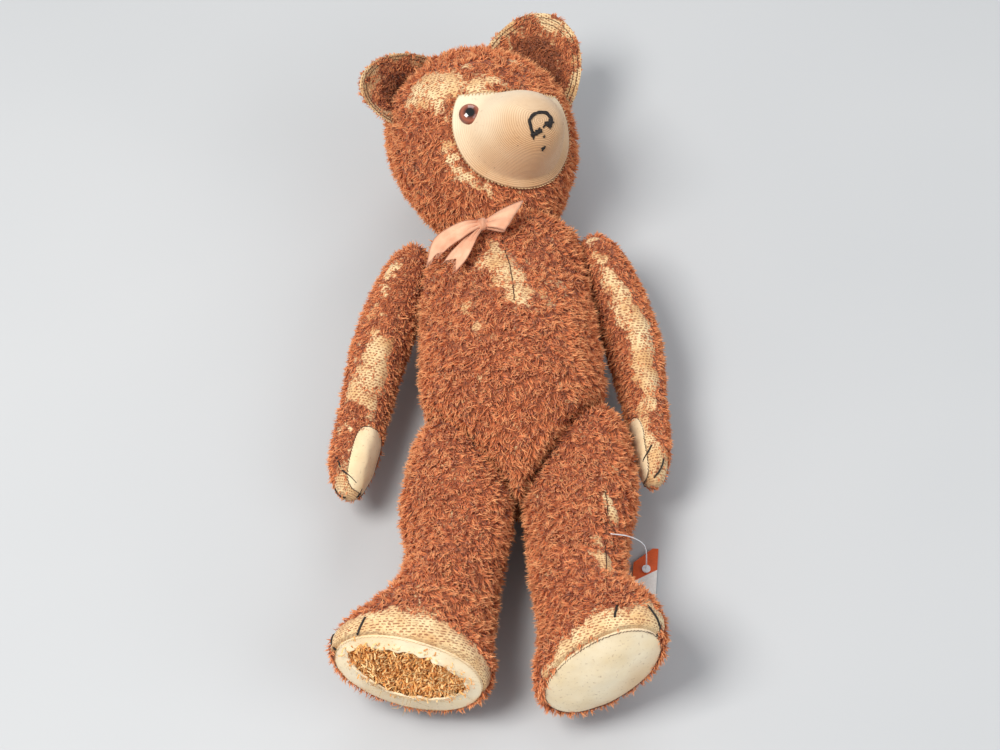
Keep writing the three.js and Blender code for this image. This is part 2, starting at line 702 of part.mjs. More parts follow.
// ---- paper tag, on a nylon thread from the left shin to the card lying beside the foot ----
function tag() {
  const edge = new THREE.Shape();
  edge.moveTo(0, 0);
  edge.lineTo(tagCard.wide, 0);
  edge.lineTo(tagCard.wide, tagCard.tall);
  edge.lineTo(tagCard.wide - 4, tagCard.tall);
  edge.lineTo(0, tagCard.tall - 12);
  edge.lineTo(0, 0);
  edge.holes.push(new THREE.Path().absarc(9, tagCard.tall - 17, 1.5, 0, 2 * Math.PI, true));
  const plate = new THREE.ExtrudeGeometry(edge, {
    depth: tagCard.thick,
    bevelEnabled: false,
    curveSegments: 5,
  });
  const slip = node("tag_card", plate, card);
  slip.position.set(...tagCard.corner);
  slip.rotation.z = tagCard.turn;

  const upwards = new THREE.Vector3(0, 0, 1);
  const hole = new THREE.Vector3(9, tagCard.tall - 17, 0).applyAxisAngle(upwards, tagCard.turn);
  hole.add(slip.position);
  const circle = new THREE.Shape().absarc(0, 0, 0.45, 0, 2 * Math.PI, false);
  const path = new THREE.CatmullRomCurve3([
    new THREE.Vector3(58, -149, 75.5),
    new THREE.Vector3(70, -145, 64),
    new THREE.Vector3(82, -136, 33),
    new THREE.Vector3(hole.x, hole.y, 9),
    new THREE.Vector3(hole.x, hole.y, 1),
  ]);
  const filament = solidOf(
    new THREE.ExtrudeGeometry(circle, { steps: 12, curveSegments: 2, extrudePath: path }),
  );
  const button = new THREE.CylinderGeometry(3, 3, 1, 10).rotateX(Math.PI / 2).translate(hole.x, hole.y, 4);
  return [slip, node("tag_tie", filament.add(solidOf(button)), nylon)];
}

// ---- assembly ----
const bear = new THREE.Group();
const body = torso();
bear.add(...body.nodes);
for (const [name, { point, axis, disc }] of Object.entries(bodyJoints)) {
  bear.add(...jointParts(name, disc, point, axis).body);
}
bear.add(head(), arm(LEFT), arm(RIGHT), leg(LEFT), leg(RIGHT), neckRibbon(body.clearance), ...tag());

export default bear;
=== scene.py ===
# A threadbare, disc-jointed mohair bear lying on its back: covers, pile, face, pads, ribbon and tag.
import bpy, math
import numpy as np
from mathutils import Matrix, Vector, noise
from mathutils.bvhtree import BVHTree


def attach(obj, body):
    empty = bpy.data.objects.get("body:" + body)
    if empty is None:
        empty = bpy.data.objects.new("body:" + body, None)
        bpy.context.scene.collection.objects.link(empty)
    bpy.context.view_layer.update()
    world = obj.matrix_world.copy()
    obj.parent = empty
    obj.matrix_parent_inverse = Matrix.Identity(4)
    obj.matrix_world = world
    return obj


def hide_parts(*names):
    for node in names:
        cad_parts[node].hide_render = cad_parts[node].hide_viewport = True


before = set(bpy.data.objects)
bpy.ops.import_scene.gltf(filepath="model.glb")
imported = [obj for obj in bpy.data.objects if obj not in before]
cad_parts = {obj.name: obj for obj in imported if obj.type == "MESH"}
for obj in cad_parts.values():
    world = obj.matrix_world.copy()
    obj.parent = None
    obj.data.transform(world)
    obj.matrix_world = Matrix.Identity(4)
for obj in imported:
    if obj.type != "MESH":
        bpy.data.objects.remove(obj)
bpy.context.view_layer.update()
scene = bpy.context.scene
scene.view_settings.view_transform = "Standard"
mm = 0.001
print("frame loaded")

# camera, light and floor
cameraSetup = {"elevation": 56, "roll": 3.8, "fieldOfView": 22, "distance": 1.8, "target": (-0.008, 0, 0.05)}
lightSetup = {
    "key": ((-0.9, -0.5, 1.9), 0.9, 42, (1, 0.97, 0.93)),
    "fill": ((1.5, -0.9, 1.3), 1.4, 12, (0.95, 0.97, 1)),
    "back": ((0.3, 1.7, 1.4), 1.2, 11, (1, 1, 1)),
    "surround": ((0.86, 0.88, 0.9), 0.45),
}


def placeCamera(own):
    tilt, roll = math.radians(own["elevation"]), math.radians(own["roll"])
    look = Vector((0, math.cos(tilt), -math.sin(tilt)))
    straightUp, straightRight = Vector((0, math.sin(tilt), math.cos(tilt))), Vector((1, 0, 0))
    up = straightUp * math.cos(roll) + straightRight * math.sin(roll)
    right = straightRight * math.cos(roll) - straightUp * math.sin(roll)
    lens = bpy.data.cameras.new("camera")
    lens.sensor_width = 36
    lens.lens = 18 / math.tan(math.radians(own["fieldOfView"] / 2))
    made = bpy.data.objects.new("camera", lens)
    turn = Matrix((right, up, -look)).transposed().to_4x4()
    made.matrix_world = Matrix.Translation(Vector(own["target"]) - look * own["distance"]) @ turn
    scene.collection.objects.link(made)
    scene.camera = made


def placeLight(name, place, size, power, colour):
    lamp = bpy.data.lights.new(name, "AREA")
    lamp.size, lamp.energy, lamp.color = size, power, colour
    made = bpy.data.objects.new(name, lamp)
    aim = Vector((0, 0, 0.05)) - Vector(place)
    made.matrix_world = Matrix.Translation(place) @ aim.to_track_quat("-Z", "Y").to_matrix().to_4x4()
    scene.collection.objects.link(made)


placeCamera(cameraSetup)
for lampName in ("key", "fill", "back"):
    placeLight(lampName, *lightSetup[lampName])
surround = bpy.data.worlds.new("surround")
surround.use_nodes = True
surround.node_tree.nodes["Background"].inputs[0].default_value = (*lightSetup["surround"][0], 1)
surround.node_tree.nodes["Background"].inputs[1].default_value = lightSetup["surround"][1]
scene.world = surround


# node trees, written as sums
class Wire:
    # one socket of a node tree; arithmetic on it adds Math nodes
    def __init__(self, tree, socket=None):
        self.tree, self.socket = tree, socket

    def node(self, kind, settings=None, values=None, out=0):
        made = self.tree.nodes.new(kind)
        for key, value in (settings or {}).items():
            if key == "stops":
                ramp = made.color_ramp
                ramp.elements[0].position, ramp.elements[1].position = value[0][0], value[-1][0]
                for at, _ in value[1:-1]:
                    ramp.elements.new(at)
                for stop, (_, colour) in zip(ramp.elements, value):
                    stop.color = colour
            else:
                setattr(made, key, value)
        for key, value in (values or {}).items():
            if isinstance(value, Wire):
                self.tree.links.new(value.socket, made.inputs[key])
            else:
                made.inputs[key].default_value = value
        return Wire(self.tree, made.outputs[out])

    def other(self, out):
        return Wire(self.tree, self.socket.node.outputs[out])

    def sum(self, operation, *values):
        return self.node("ShaderNodeMath", {"operation": operation}, dict(enumerate(values)))

    def __add__(self, other):
        return self.sum("ADD", self, other)

    def __sub__(self, other):
        return self.sum("SUBTRACT", self, other)

    def __rsub__(self, other):
        return self.sum("SUBTRACT", other, self)

    def __mul__(self, other):
        return self.sum("MULTIPLY", self, other)

    def __truediv__(self, other):
        return self.sum("DIVIDE", self, other)

    def __lt__(self, other):
        return self.sum("LESS_THAN", self, other)

    __radd__, __rmul__ = __add__, __mul__

    def alone(self, operation):
        return self.sum(operation, self)

    def clamped(self):
        return self.node("ShaderNodeClamp", {}, {0: self})

    def step(self, low, high):
        return ((self - low) / (high - low)).clamped()


def tone(red, green, blue):
    # a colour as it is seen, from 0 to 255, made linear
    shares = [c / 255 for c in (red, green, blue)]
    return tuple(s / 12.92 if s <= 0.04 else ((s + 0.055) / 1.055) ** 2.4 for s in shares) + (1,)


def grain(wire, scale, detail=2.0, place=None, out=0, roughness=0.5):
    place = place or wire.node("ShaderNodeTexCoord", out="Object")
    return wire.node(
        "ShaderNodeTexNoise", {},
        {"Vector": place, "Scale": scale, "Detail": detail, "Roughness": roughness}, out
    )


def blended(wire, factor, a, b):
    return wire.node("ShaderNodeMix", {"data_type": "RGBA"}, {0: factor, 6: a, 7: b}, 2)


def attribute(wire, name):
    return wire.node("ShaderNodeAttribute", {"attribute_name": name}, out=2)


def bumped(wire, height, strength, distance):
    return wire.node("ShaderNodeBump", {}, {"Strength": strength, "Distance": distance, "Height": height})


def newFinish(name, paint, **fixed):
    made = bpy.data.materials.new(name)
    made.use_nodes = True
    shader = made.node_tree.nodes["Principled BSDF"]
    for key, value in fixed.items():
        shader.inputs[key.replace("_", " ")].default_value = value
    for key, value in paint(Wire(made.node_tree)).items():
        if isinstance(value, Wire):
            made.node_tree.links.new(value.socket, shader.inputs[key])
        else:
            shader.inputs[key].default_value = value
    return made


# finishes
# how ragged the edge of a worn place is, and the islands of pile left in it
wearEdge = {"scale": 360, "detail": 5, "reach": 1.5, "islands": 120, "mottle": 1.5}
weave = {"rows": 1.95, "dashes": 2.5, "threads": 0.62}  # mm
cream, creamShade, dashBrown = tone(246, 220, 170), tone(222, 174, 116), tone(150, 86, 52)


def raggedWear(wire, worn, place=None):
    # the wear as both the backing's paint and the pile read it
    ragged = (grain(wire, wearEdge["scale"], wearEdge["detail"], place) - 0.5) * wearEdge["reach"]
    islands = (grain(wire, wearEdge["islands"], 2, place) - 0.5) * wearEdge["mottle"]
    return worn + ragged + islands


def showing(wire, low=0.3, high=0.56):
    # 1 where the backing shows
    return raggedWear(wire, attribute(wire, "worn")).step(low, high)


def clothAxes(wire):
    split = wire.node("ShaderNodeSeparateXYZ", {}, {0: wire.node("ShaderNodeUVMap", {"uv_map": "Cloth"})})
    return split, split.other(1)


def backingPaint(wire):
    u, v = clothAxes(wire)
    bent = v / weave["rows"] + grain(wire, 70, 2) * 1.3
    row, inRow = bent.alone("FLOOR"), bent.alone("FRACT")
    along = u / weave["dashes"] + row * 0.37 + grain(wire, 130, 1) * 1.6
    inDash = along.alone("FRACT")
    dash = (inDash - 0.5).alone("ABSOLUTE").step(0.38, 0.26) * (inRow - 0.5).alone("ABSOLUTE").step(0.34, 0.2)
    dash = dash * grain(wire, 330, 2).step(0.34, 0.5)
    perThread = 6.283 / weave["threads"]
    threads = (u * perThread).alone("SINE") * (v * perThread).alone("SINE")
    colour = blended(wire, grain(wire, 60, 3).step(0.35, 0.7), cream, creamShade)
    fuzz = grain(wire, 520, 3).step(0.56, 0.7)  # what is left of the pile in the worn places
    colour = blended(wire, dash.sum("MAXIMUM", dash * 0.85, fuzz * 0.7), colour, dashBrown)
    # painted shade: under the pile the cream backing is painted dark brown, standing in for the shade deep in
    # the pile
    pileDepthShade = blended(wire, grain(wire, 700, 2).step(0.4, 0.6), tone(116, 60, 36), tone(172, 96, 58))
    colour = blended(wire, showing(wire), pileDepthShade, colour)
    height = threads * 0.3 - dash + grain(wire, 900, 2) * 0.4
    return {"Base Color": colour, "Roughness": 0.92, "Normal": bumped(wire, height, 0.5, 0.0004)}


def mohairPaint(root, middle, light):
    def paint(wire):
        tip, shade = attribute(wire, "tip"), attribute(wire, "shade")
        faded = grain(wire, 22, 3).step(0.3, 0.72)
        # root to tip the strands lighten: the dark roots are painted shade deep in the pile, the light tips
        # are real fading; shade brings each strand's own tone and the painted shade between locks
        along = (tip * 0.7 + shade * 0.42 + faded * 0.16 - 0.1).clamped()
        colour = wire.node(
            "ShaderNodeValToRGB", {"stops": [(0, root), (0.5, middle), (1, light)]}, {0: along}
        )
        return {
            "Base Color": blended(wire, faded * 0.3, colour, tone(204, 126, 80)),
            "Roughness": 0.95 - tip * 0.1
        }

    return paint


def knitPaint(wire):
    v = clothAxes(wire)[1]
    bent = v / 1.45 + grain(wire, 40, 2) * 0.5
    rib = (bent * 6.283).alone("SINE")
    fleck = grain(wire, 420, 3, roughness=0.7).step(0.6, 0.7) * grain(wire, 35, 2).step(0.45, 0.7)
    sideways = wire.node("ShaderNodeSeparateXYZ", {}, {0: wire.node("ShaderNodeTexCoord", out="Object")})
    # painted shade: the knit darkens towards one lower side of the muzzle (low y, high x), broken up by noise
    muzzleSideShade = (grain(wire, 24, 3) * 0.6 + (0.176 - sideways.other(1)) * 10.0 + sideways * 5.0).step(0.2, 1.0)
    colour = blended(wire, muzzleSideShade, tone(241, 223, 192), tone(208, 154, 100))
    # painted shade in the rib grooves, strongest on the shaded side of the muzzle
    colour = blended(wire, rib.step(0.2, -0.9) * (muzzleSideShade * 0.5 + 0.08), colour, tone(150, 102, 60))
    colour = blended(wire, fleck * 0.7, colour, tone(112, 64, 38))
    height = rib * (muzzleSideShade * 0.55 + 0.2) + grain(wire, 1500, 2) * 0.5
    return {"Base Color": colour, "Roughness": 0.88, "Normal": bumped(wire, height, 0.55, 0.0005)}


def feltPaint(light, shade, grime):
    def paint(wire):
        fibres = grain(wire, 1300, 4, roughness=0.75)
        cloud = grain(wire, 38, 4, roughness=0.6)
        colour = blended(wire, cloud.step(0.35, 0.75), light, shade)
        colour = blended(wire, attribute(wire, "grime") * 0.85, colour, grime)
        colour = blended(wire, grain(wire, 500, 2).step(0.62, 0.72) * 0.35, colour, tone(150, 104, 62))
        height = fibres * 0.7 + cloud * 2.0
        return {"Base Color": colour, "Roughness": 0.95, "Normal": bumped(wire, height, 0.45, 0.0006)}

    return paint


def shavingPaint(wire):
    own = attribute(wire, "shade")
    streak = grain(wire, 700, 3)
    colour = wire.node(
        "ShaderNodeValToRGB",
        {"stops": [(0, tone(200, 116, 54)), (0.35, tone(248, 180, 100)), (1, tone(255, 228, 170))]},
        {0: (own * 0.8 + streak * 0.35 - 0.08).clamped()},
    )
    return {"Base Color": colour, "Roughness": 0.6, "Normal": bumped(wire, streak, 0.3, 0.0002)}


def satinPaint(wire):
    u, v = clothAxes(wire)
    weft = (v * 14).alone("SINE") * 0.5 + (u * 9).alone("SINE") * 0.2
    creased = grain(wire, 90, 3)
    colour = blended(wire, creased.step(0.35, 0.7), tone(236, 182, 146), tone(214, 146, 110))
    # darker edges and cut ends, with painted shade on the knot and in the fold troughs
    edge = attribute(wire, "grime")
    colour = blended(wire, edge * 0.75, colour, tone(128, 58, 38))
    return {
        "Base Color": colour,
        "Roughness": 0.42 + creased * 0.2,
        "Normal": bumped(wire, weft * 0.3 + creased * 2.0, 0.35, 0.0005),
    }


def threadPaint(dark, light):
    def paint(wire):
        u, v = clothAxes(wire)
        twist = (u * 3.0 + v * 6.0).alone("SINE")
        # painted shade and sheen: the thread is darker in the grooves of its twist and lighter on its ridges
        colour = blended(wire, twist.step(-0.6, 1.0), dark, light)
        return {"Base Color": colour, "Roughness": 0.65, "Normal": bumped(wire, twist, 0.5, 0.0002)}

    return paint


def glassPaint(wire):
    out = attribute(wire, "ring")
    cloud = grain(wire, 500, 3)
    iris = wire.node(
        "ShaderNodeValToRGB",
        {
            "stops": [
                (0.36, tone(10, 7, 6)), (0.46, tone(96, 48, 34)), (0.74, tone(166, 92, 66)),
                (0.95, tone(112, 56, 40))
            ]
        },
        {0: (out + (cloud - 0.5) * 0.04).clamped()},
    )
    return {"Base Color": iris, "Roughness": 0.12 + cloud * 0.06}


def cardPaint(wire):
    place = wire.node("ShaderNodeSeparateXYZ", {}, {0: wire.node("ShaderNodeTexCoord", out="Object")})
    slant = place.other(1) - place * 0.45
    printed = slant.step(-0.1785, -0.178)
    fibre = grain(wire, 900, 3)
    paper = blended(wire, fibre.step(0.3, 0.7), tone(246, 244, 240), tone(232, 229, 224))
    ink = blended(wire, fibre.step(0.35, 0.7), tone(226, 96, 38), tone(212, 84, 32))
    return {
        "Base Color": blended(wire, printed, paper, ink), "Roughness": 0.5,
        "Normal": bumped(wire, fibre, 0.1, 0.0002)
    }


def plainPaint(dark, light, scale, roughness, metal=0.0):
    def paint(wire):
        cloud = grain(wire, scale, 4, roughness=0.65)
        return {
            "Base Color": blended(wire, cloud.step(0.3, 0.7), dark, light),
            "Roughness": cloud * 0.2 + (roughness - 0.1),
            "Metallic": metal,
            "Normal": bumped(wire, cloud, 0.25, 0.0003),
        }

    return paint


def floorPaint(wire):
    return {
        "Base Color": blended(wire, grain(wire, 3, 2), tone(186, 189, 192), tone(196, 198, 200)),
        "Roughness": 0.85
    }


finishes = {
    "backing": newFinish("worn backing", backingPaint, Sheen_Weight=0.15),
    "mohair": newFinish(
        "red-brown mohair", mohairPaint(tone(156, 76, 42), tone(224, 136, 88), tone(250, 190, 134)),
        Sheen_Weight=0.2, Specular_IOR_Level=0.12
    ),
    "innerEar": newFinish(
        "dusky ear mohair", mohairPaint(tone(66, 32, 20), tone(150, 84, 54), tone(208, 136, 94)),
        Sheen_Weight=0.2, Specular_IOR_Level=0.12
    ),
    "knit": newFinish("ribbed muzzle knit", knitPaint, Sheen_Weight=0.2),
    "pawFelt": newFinish(
        "paw felt", feltPaint(tone(246, 228, 190), tone(232, 204, 156), tone(190, 142, 92)), Sheen_Weight=0.2
    ),
    "soleFelt": newFinish(
        "sole felt", feltPaint(tone(252, 236, 204), tone(242, 218, 174), tone(206, 156, 100)),
        Sheen_Weight=0.2
    ),
    "woodWool": newFinish("wood wool", shavingPaint),
    "satin": newFinish("peach satin", satinPaint, Sheen_Weight=0.3, Anisotropic=0.4),
    "blackThread": newFinish("black thread", threadPaint(tone(14, 11, 10), tone(46, 38, 34))),
    "creamThread": newFinish("cream thread", threadPaint(tone(190, 150, 98), tone(246, 226, 184))),
    "brownThread": newFinish("brown thread", threadPaint(tone(52, 26, 18), tone(100, 56, 38))),
    "eyeGlass": newFinish("brown eye glass", glassPaint, Coat_Weight=1.0, Coat_Roughness=0.03, IOR=1.5),
    "card": newFinish("tag card", cardPaint),
    "nylon": newFinish("clear nylon", plainPaint(tone(222, 224, 228), tone(246, 247, 250), 400, 0.3)),
    "hardboard": newFinish("hardboard", plainPaint(tone(84, 58, 36), tone(128, 92, 60), 300, 0.85)),
    "steel": newFinish("steel", plainPaint(tone(120, 120, 124), tone(168, 168, 170), 200, 0.4, 0.95)),
    "stuffing": newFinish("packed wood wool", plainPaint(tone(170, 104, 50), tone(232, 176, 104), 260, 0.8)),
    "floor": newFinish("pale floor", floorPaint),
}
print("finishes made")


# meshes
def addPiece(name, points, faces, finish, body, slot, cloth=None, **marks):
    # points are in mm; cloth is the fabric's own position at each face corner
    mesh = bpy.data.meshes.new(name)
    mesh.from_pydata((np.asarray(points) * mm).tolist(), [], [tuple(int(i) for i in f) for f in faces])
    if cloth is not None:
        layer = mesh.uv_layers.new(name="Cloth")
        layer.data.foreach_set("uv", np.asarray(cloth, dtype=np.float32).ravel())
    for mark, values in marks.items():
        values = np.asarray(values, dtype=np.float32)
        kind = "FLOAT_VECTOR" if values.ndim == 2 else "FLOAT"
        mesh.attributes.new(mark, kind, "POINT").data.foreach_set(
            "vector" if values.ndim == 2 else "value", values.ravel()
        )
    mesh.materials.append(finishes[finish])
    mesh.shade_smooth()
    made = bpy.data.objects.new(name, mesh)
    scene.collection.objects.link(made)
    if body:
        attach(made, body)
    return made


def ringSheet(rings, startPole=True, endPole=True):
    # rings of points joined into one skin, with the distances round and along it as cloth coordinates
    count, around = rings.shape[:2]
    points = rings.reshape(-1, 3)
    keep = np.ones(len(points), bool)
    if startPole:
        keep[1:around] = False
    if endPole:
        keep[(count - 1) * around + 1 :] = False
    newIndex = np.cumsum(keep) - 1
    ids = np.arange(count * around).reshape(count, around)
    if startPole:
        ids[0, :] = 0
    if endPole:
        ids[-1, :] = (count - 1) * around
    ids = newIndex[ids]
    girth = np.linalg.norm(np.roll(rings, -1, axis=1) - rings, axis=2).sum(axis=1)
    wide = max(girth.mean(), 1e-6) / around
    spoke = np.concatenate([[0], np.cumsum(np.linalg.norm(np.diff(rings, axis=0), axis=2).mean(axis=1))])
    faces, cloth = [], []
    for i in range(count - 1):
        for j in range(around):
            k = (j + 1) % around
            corners = [
                (ids[i, j], j, i), (ids[i + 1, j], j, i + 1), (ids[i + 1, k], j + 1, i + 1),
                (ids[i, k], j + 1, i)
            ]
            if startPole and i == 0:
                corners.pop(3)
            if endPole and i == count - 2:
                corners.pop(2)
            faces.append([c[0] for c in corners])
            cloth += [(c[1] * wide, spoke[c[2]]) for c in corners]
    return points[keep], faces, cloth


def flipFaces(faces, cloth):
    turned, coords, at = [], [], 0
    for face in faces:
        turned.append(face[::-1])
        coords += cloth[at : at + len(face)][::-1]
        at += len(face)
    return turned, coords


def facingOut(points, faces, cloth, outward=None):
    tris = np.array([f[:3] for f in faces])
    a, b, c = points[tris[:, 0]], points[tris[:, 1]], points[tris[:, 2]]
    normal = np.cross(b - a, c - a)
    away = a - points.mean(axis=0) if outward is None else np.asarray(outward)
    total = np.sum(normal * away)
    return (faces, cloth) if total > 0 else flipFaces(faces, cloth)


def normalsOf(points, faces):
    normal = np.zeros_like(points)
    for corners in (np.array([f[:3] for f in faces]), np.array([f[-3:] for f in faces])):
        across = np.cross(
            points[corners[:, 1]] - points[corners[:, 0]], points[corners[:, 2]] - points[corners[:, 0]]
        )
        for k in range(3):
            np.add.at(normal, corners[:, k], across)
    return normal / np.maximum(np.linalg.norm(normal, axis=1, keepdims=True), 1e-9)


def noiseOf(points, size, seed=0.0):
    # smooth noise from about -1 to 1 with features of that size in mm
    shift = Vector((seed * 7.3, seed * 3.1, seed * 5.7))
    return np.array([noise.noise(Vector(p) / size + shift) for p in points])


def throughPoints(rows, t):
    # a centripetal Catmull-Rom curve through the rows, at t from 0 to 1
    rows = np.asarray(rows, float)
    last = len(rows) - 1
    made = np.empty((len(t), rows.shape[1]))
    for n, value in enumerate(t):
        i = min(int(value * last), last - 1)
        w = value * last - i
        b, c = rows[i], rows[i + 1]
        a = rows[i - 1] if i > 0 else 2 * b - c
        d = rows[i + 2] if i + 2 <= last else 2 * c - b
        ab, bc, cd = (max(np.sum((q - r) ** 2), 1e-12) ** 0.25 for q, r in ((a, b), (b, c), (c, d)))
        one = ((b - a) / ab - (c - a) / (ab + bc) + (c - b) / bc) * bc
        two = ((c - b) / bc - (d - b) / (bc + cd) + (d - c) / cd) * bc
        made[n] = b + one * w + (3 * c - 3 * b - 2 * one - two) * w**2 + (2 * b - 2 * c + one + two) * w**3
    return made


def stuffedForm(stations, around, along, fullness=0.6):
    # rings of a closed form drawn along its stations: y, x, z, half width, half depth, turn about y
    rows = [(tuple(s) + (0,))[:6] for s in stations]
    last = len(rows) - 1
    closing = [
        1 if i in (0, last) else math.sqrt(1 - (1 - 2 * i / last) ** 2) ** fullness for i in range(last + 1)
    ]
    phi = np.linspace(0, math.pi, along + 1)
    t = (1 - np.cos(phi)) / 2
    middle = throughPoints([(x, y, z) for y, x, z, *_ in rows], t)
    size = throughPoints([(w / k, turn, d / k) for (_, _, _, w, d, turn), k in zip(rows, closing)], t)
    ring = np.sin(phi).clip(0) ** fullness
    angle = np.arange(around) / around * 2 * math.pi
    across = (ring * size[:, 0])[:, None] * -np.cos(angle)
    front = (ring * size[:, 2])[:, None] * np.sin(angle)
    c, s = np.cos(size[:, 1])[:, None], np.sin(size[:, 1])[:, None]
    x = middle[:, 0, None] + across * c + front * s
    z = middle[:, 2, None] - across * s + front * c
    return np.stack([x, np.broadcast_to(middle[:, 1, None], x.shape), z], axis=2)


def pressed(points, point, normal, back=0.0, swell=None):
    # flattens what lies past a plane; with a swell the flat domes outwards
    away = points - point
    past = away @ normal + back
    flat = away - np.maximum(past, 0)[:, None] * normal
    if swell:
        lengthwise = flat @ swell["toe"]
        crosswise = np.sqrt(np.maximum(np.sum(flat**2, axis=1) - lengthwise**2 - back**2, 0))
        dome = swell["height"] * np.maximum(
            1 - (lengthwise / swell["long"]) ** 2 - (crosswise / swell["wide"]) ** 2, 0
        )
        flat = np.where(past[:, None] > 0, flat + dome[:, None] * normal, flat)
    return flat + point, past


def turned(matrix, points):
    grid = np.array(matrix)
    return np.asarray(points) @ grid[:3, :3].T + grid[:3, 3]


def unit(values):
    values = np.asarray(values, float)
    return values / np.linalg.norm(values, axis=-1, keepdims=True)


def lookup(points, faces):
    return BVHTree.FromPolygons([tuple(p) for p in points], [tuple(int(i) for i in f) for f in faces])


def castIn(tree, centre, direction, reach=260):
    # the outermost point of a skin seen from outside, towards the centre
    direction = Vector(direction).normalized()
    hit, normal, _, _ = tree.ray_cast(Vector(centre) + direction * reach, -direction)
    if hit is None:
        return np.array(centre), np.array(direction)
    return np.array(hit), np.array(normal if normal.dot(direction) > 0 else -normal)


def laidOn(tree, points, lift):
    # points moved to the nearest place on a skin, and lifted off it
    made, ups = [], []
    for p in points:
        hit, normal, _, _ = tree.find_nearest(Vector(p))
        made.append(np.array(hit) + np.array(normal) * lift)
        ups.append(np.array(normal))
    return np.array(made), np.array(ups)


def smoothPath(points, count):
    return throughPoints(points, np.linspace(0, 1, count))


def threadTube(points, radius, sides=6):
    # a closed tube along a path, with one radius or one at each point
    points = np.asarray(points, float)
    radii = np.broadcast_to(radius, len(points))
    along = unit(np.gradient(points, axis=0))
    side = unit(np.cross(along, [0.31, 0.52, 0.79]))
    up = np.cross(along, side)
    angle = np.arange(sides) / sides * 2 * math.pi
    rings = points[:, None] + radii[:, None, None] * (
        side[:, None] * np.cos(angle)[None, :, None] + up[:, None] * np.sin(angle)[None, :, None]
    )
    rings = np.concatenate(
        [np.repeat(points[:1, None], sides, 1), rings, np.repeat(points[-1:, None], sides, 1)]
    )
    made, faces, cloth = ringSheet(rings)
    return (made, *facingOut(made, faces, cloth))


def gathered(parts):
    points, faces, cloth, at = [], [], [], 0
    for made, own, coords in parts:
        points.append(made)
        faces += [[i + at for i in f] for f in own]
        cloth += list(coords)
        at += len(made)
    return np.concatenate(points), faces, cloth


# geometry trees
def newTree(name, ports):
    tree = bpy.data.node_groups.new(name, "GeometryNodeTree")
    for port, kind in ports.items():
        tree.interface.new_socket(port, in_out="INPUT", socket_type="NodeSocket" + kind)
    tree.interface.new_socket("Geometry", in_out="OUTPUT", socket_type="NodeSocketGeometry")
    entry = tree.nodes.new("NodeGroupInput")
    return tree, Wire(tree), {port: Wire(tree, entry.outputs[port]) for port in ports}


def endTree(wire, shape, finish):
    real = wire.node("GeometryNodeRealizeInstances", {}, {0: shape})
    painted = wire.node("GeometryNodeSetMaterial", {}, {"Geometry": real, "Material": finish})
    exitNode = wire.tree.nodes.new("NodeGroupOutput")
    wire.tree.links.new(painted.socket, exitNode.inputs[0])


def vectorSum(wire, operation, a, b):
    return wire.node(
        "ShaderNodeVectorMath", {"operation": operation}, {0: a, ("Scale" if operation == "SCALE" else 1): b}
    )


def randomFrom(wire, low, high, seed, spread=False):
    if spread:
        return wire.node("FunctionNodeRandomValue", {"data_type": "FLOAT_VECTOR"}, {0: low, 1: high, 8: seed})
    return wire.node("FunctionNodeRandomValue", {"data_type": "FLOAT"}, {2: low, 3: high, 8: seed}, 1)


def namedValue(wire, name, kind="FLOAT"):
    return wire.node("GeometryNodeInputNamedAttribute", {"data_type": kind}, {"Name": name})


def stored(wire, shape, name, value, domain="INSTANCE"):
    return wire.node(
        "GeometryNodeStoreNamedAttribute", {"data_type": "FLOAT", "domain": domain},
        {"Geometry": shape, "Name": name, "Value": value}
    )


def standing(wire, direction, roll):
    aim = wire.node("FunctionNodeAlignRotationToVector", {"axis": "Z"}, {"Vector": direction})
    twist = wire.node("FunctionNodeAxisAngleToRotation", {}, {0: (0, 0, 1), 1: roll})
    return wire.node("FunctionNodeRotateRotation", {"rotation_space": "LOCAL"}, {0: aim, 1: twist})


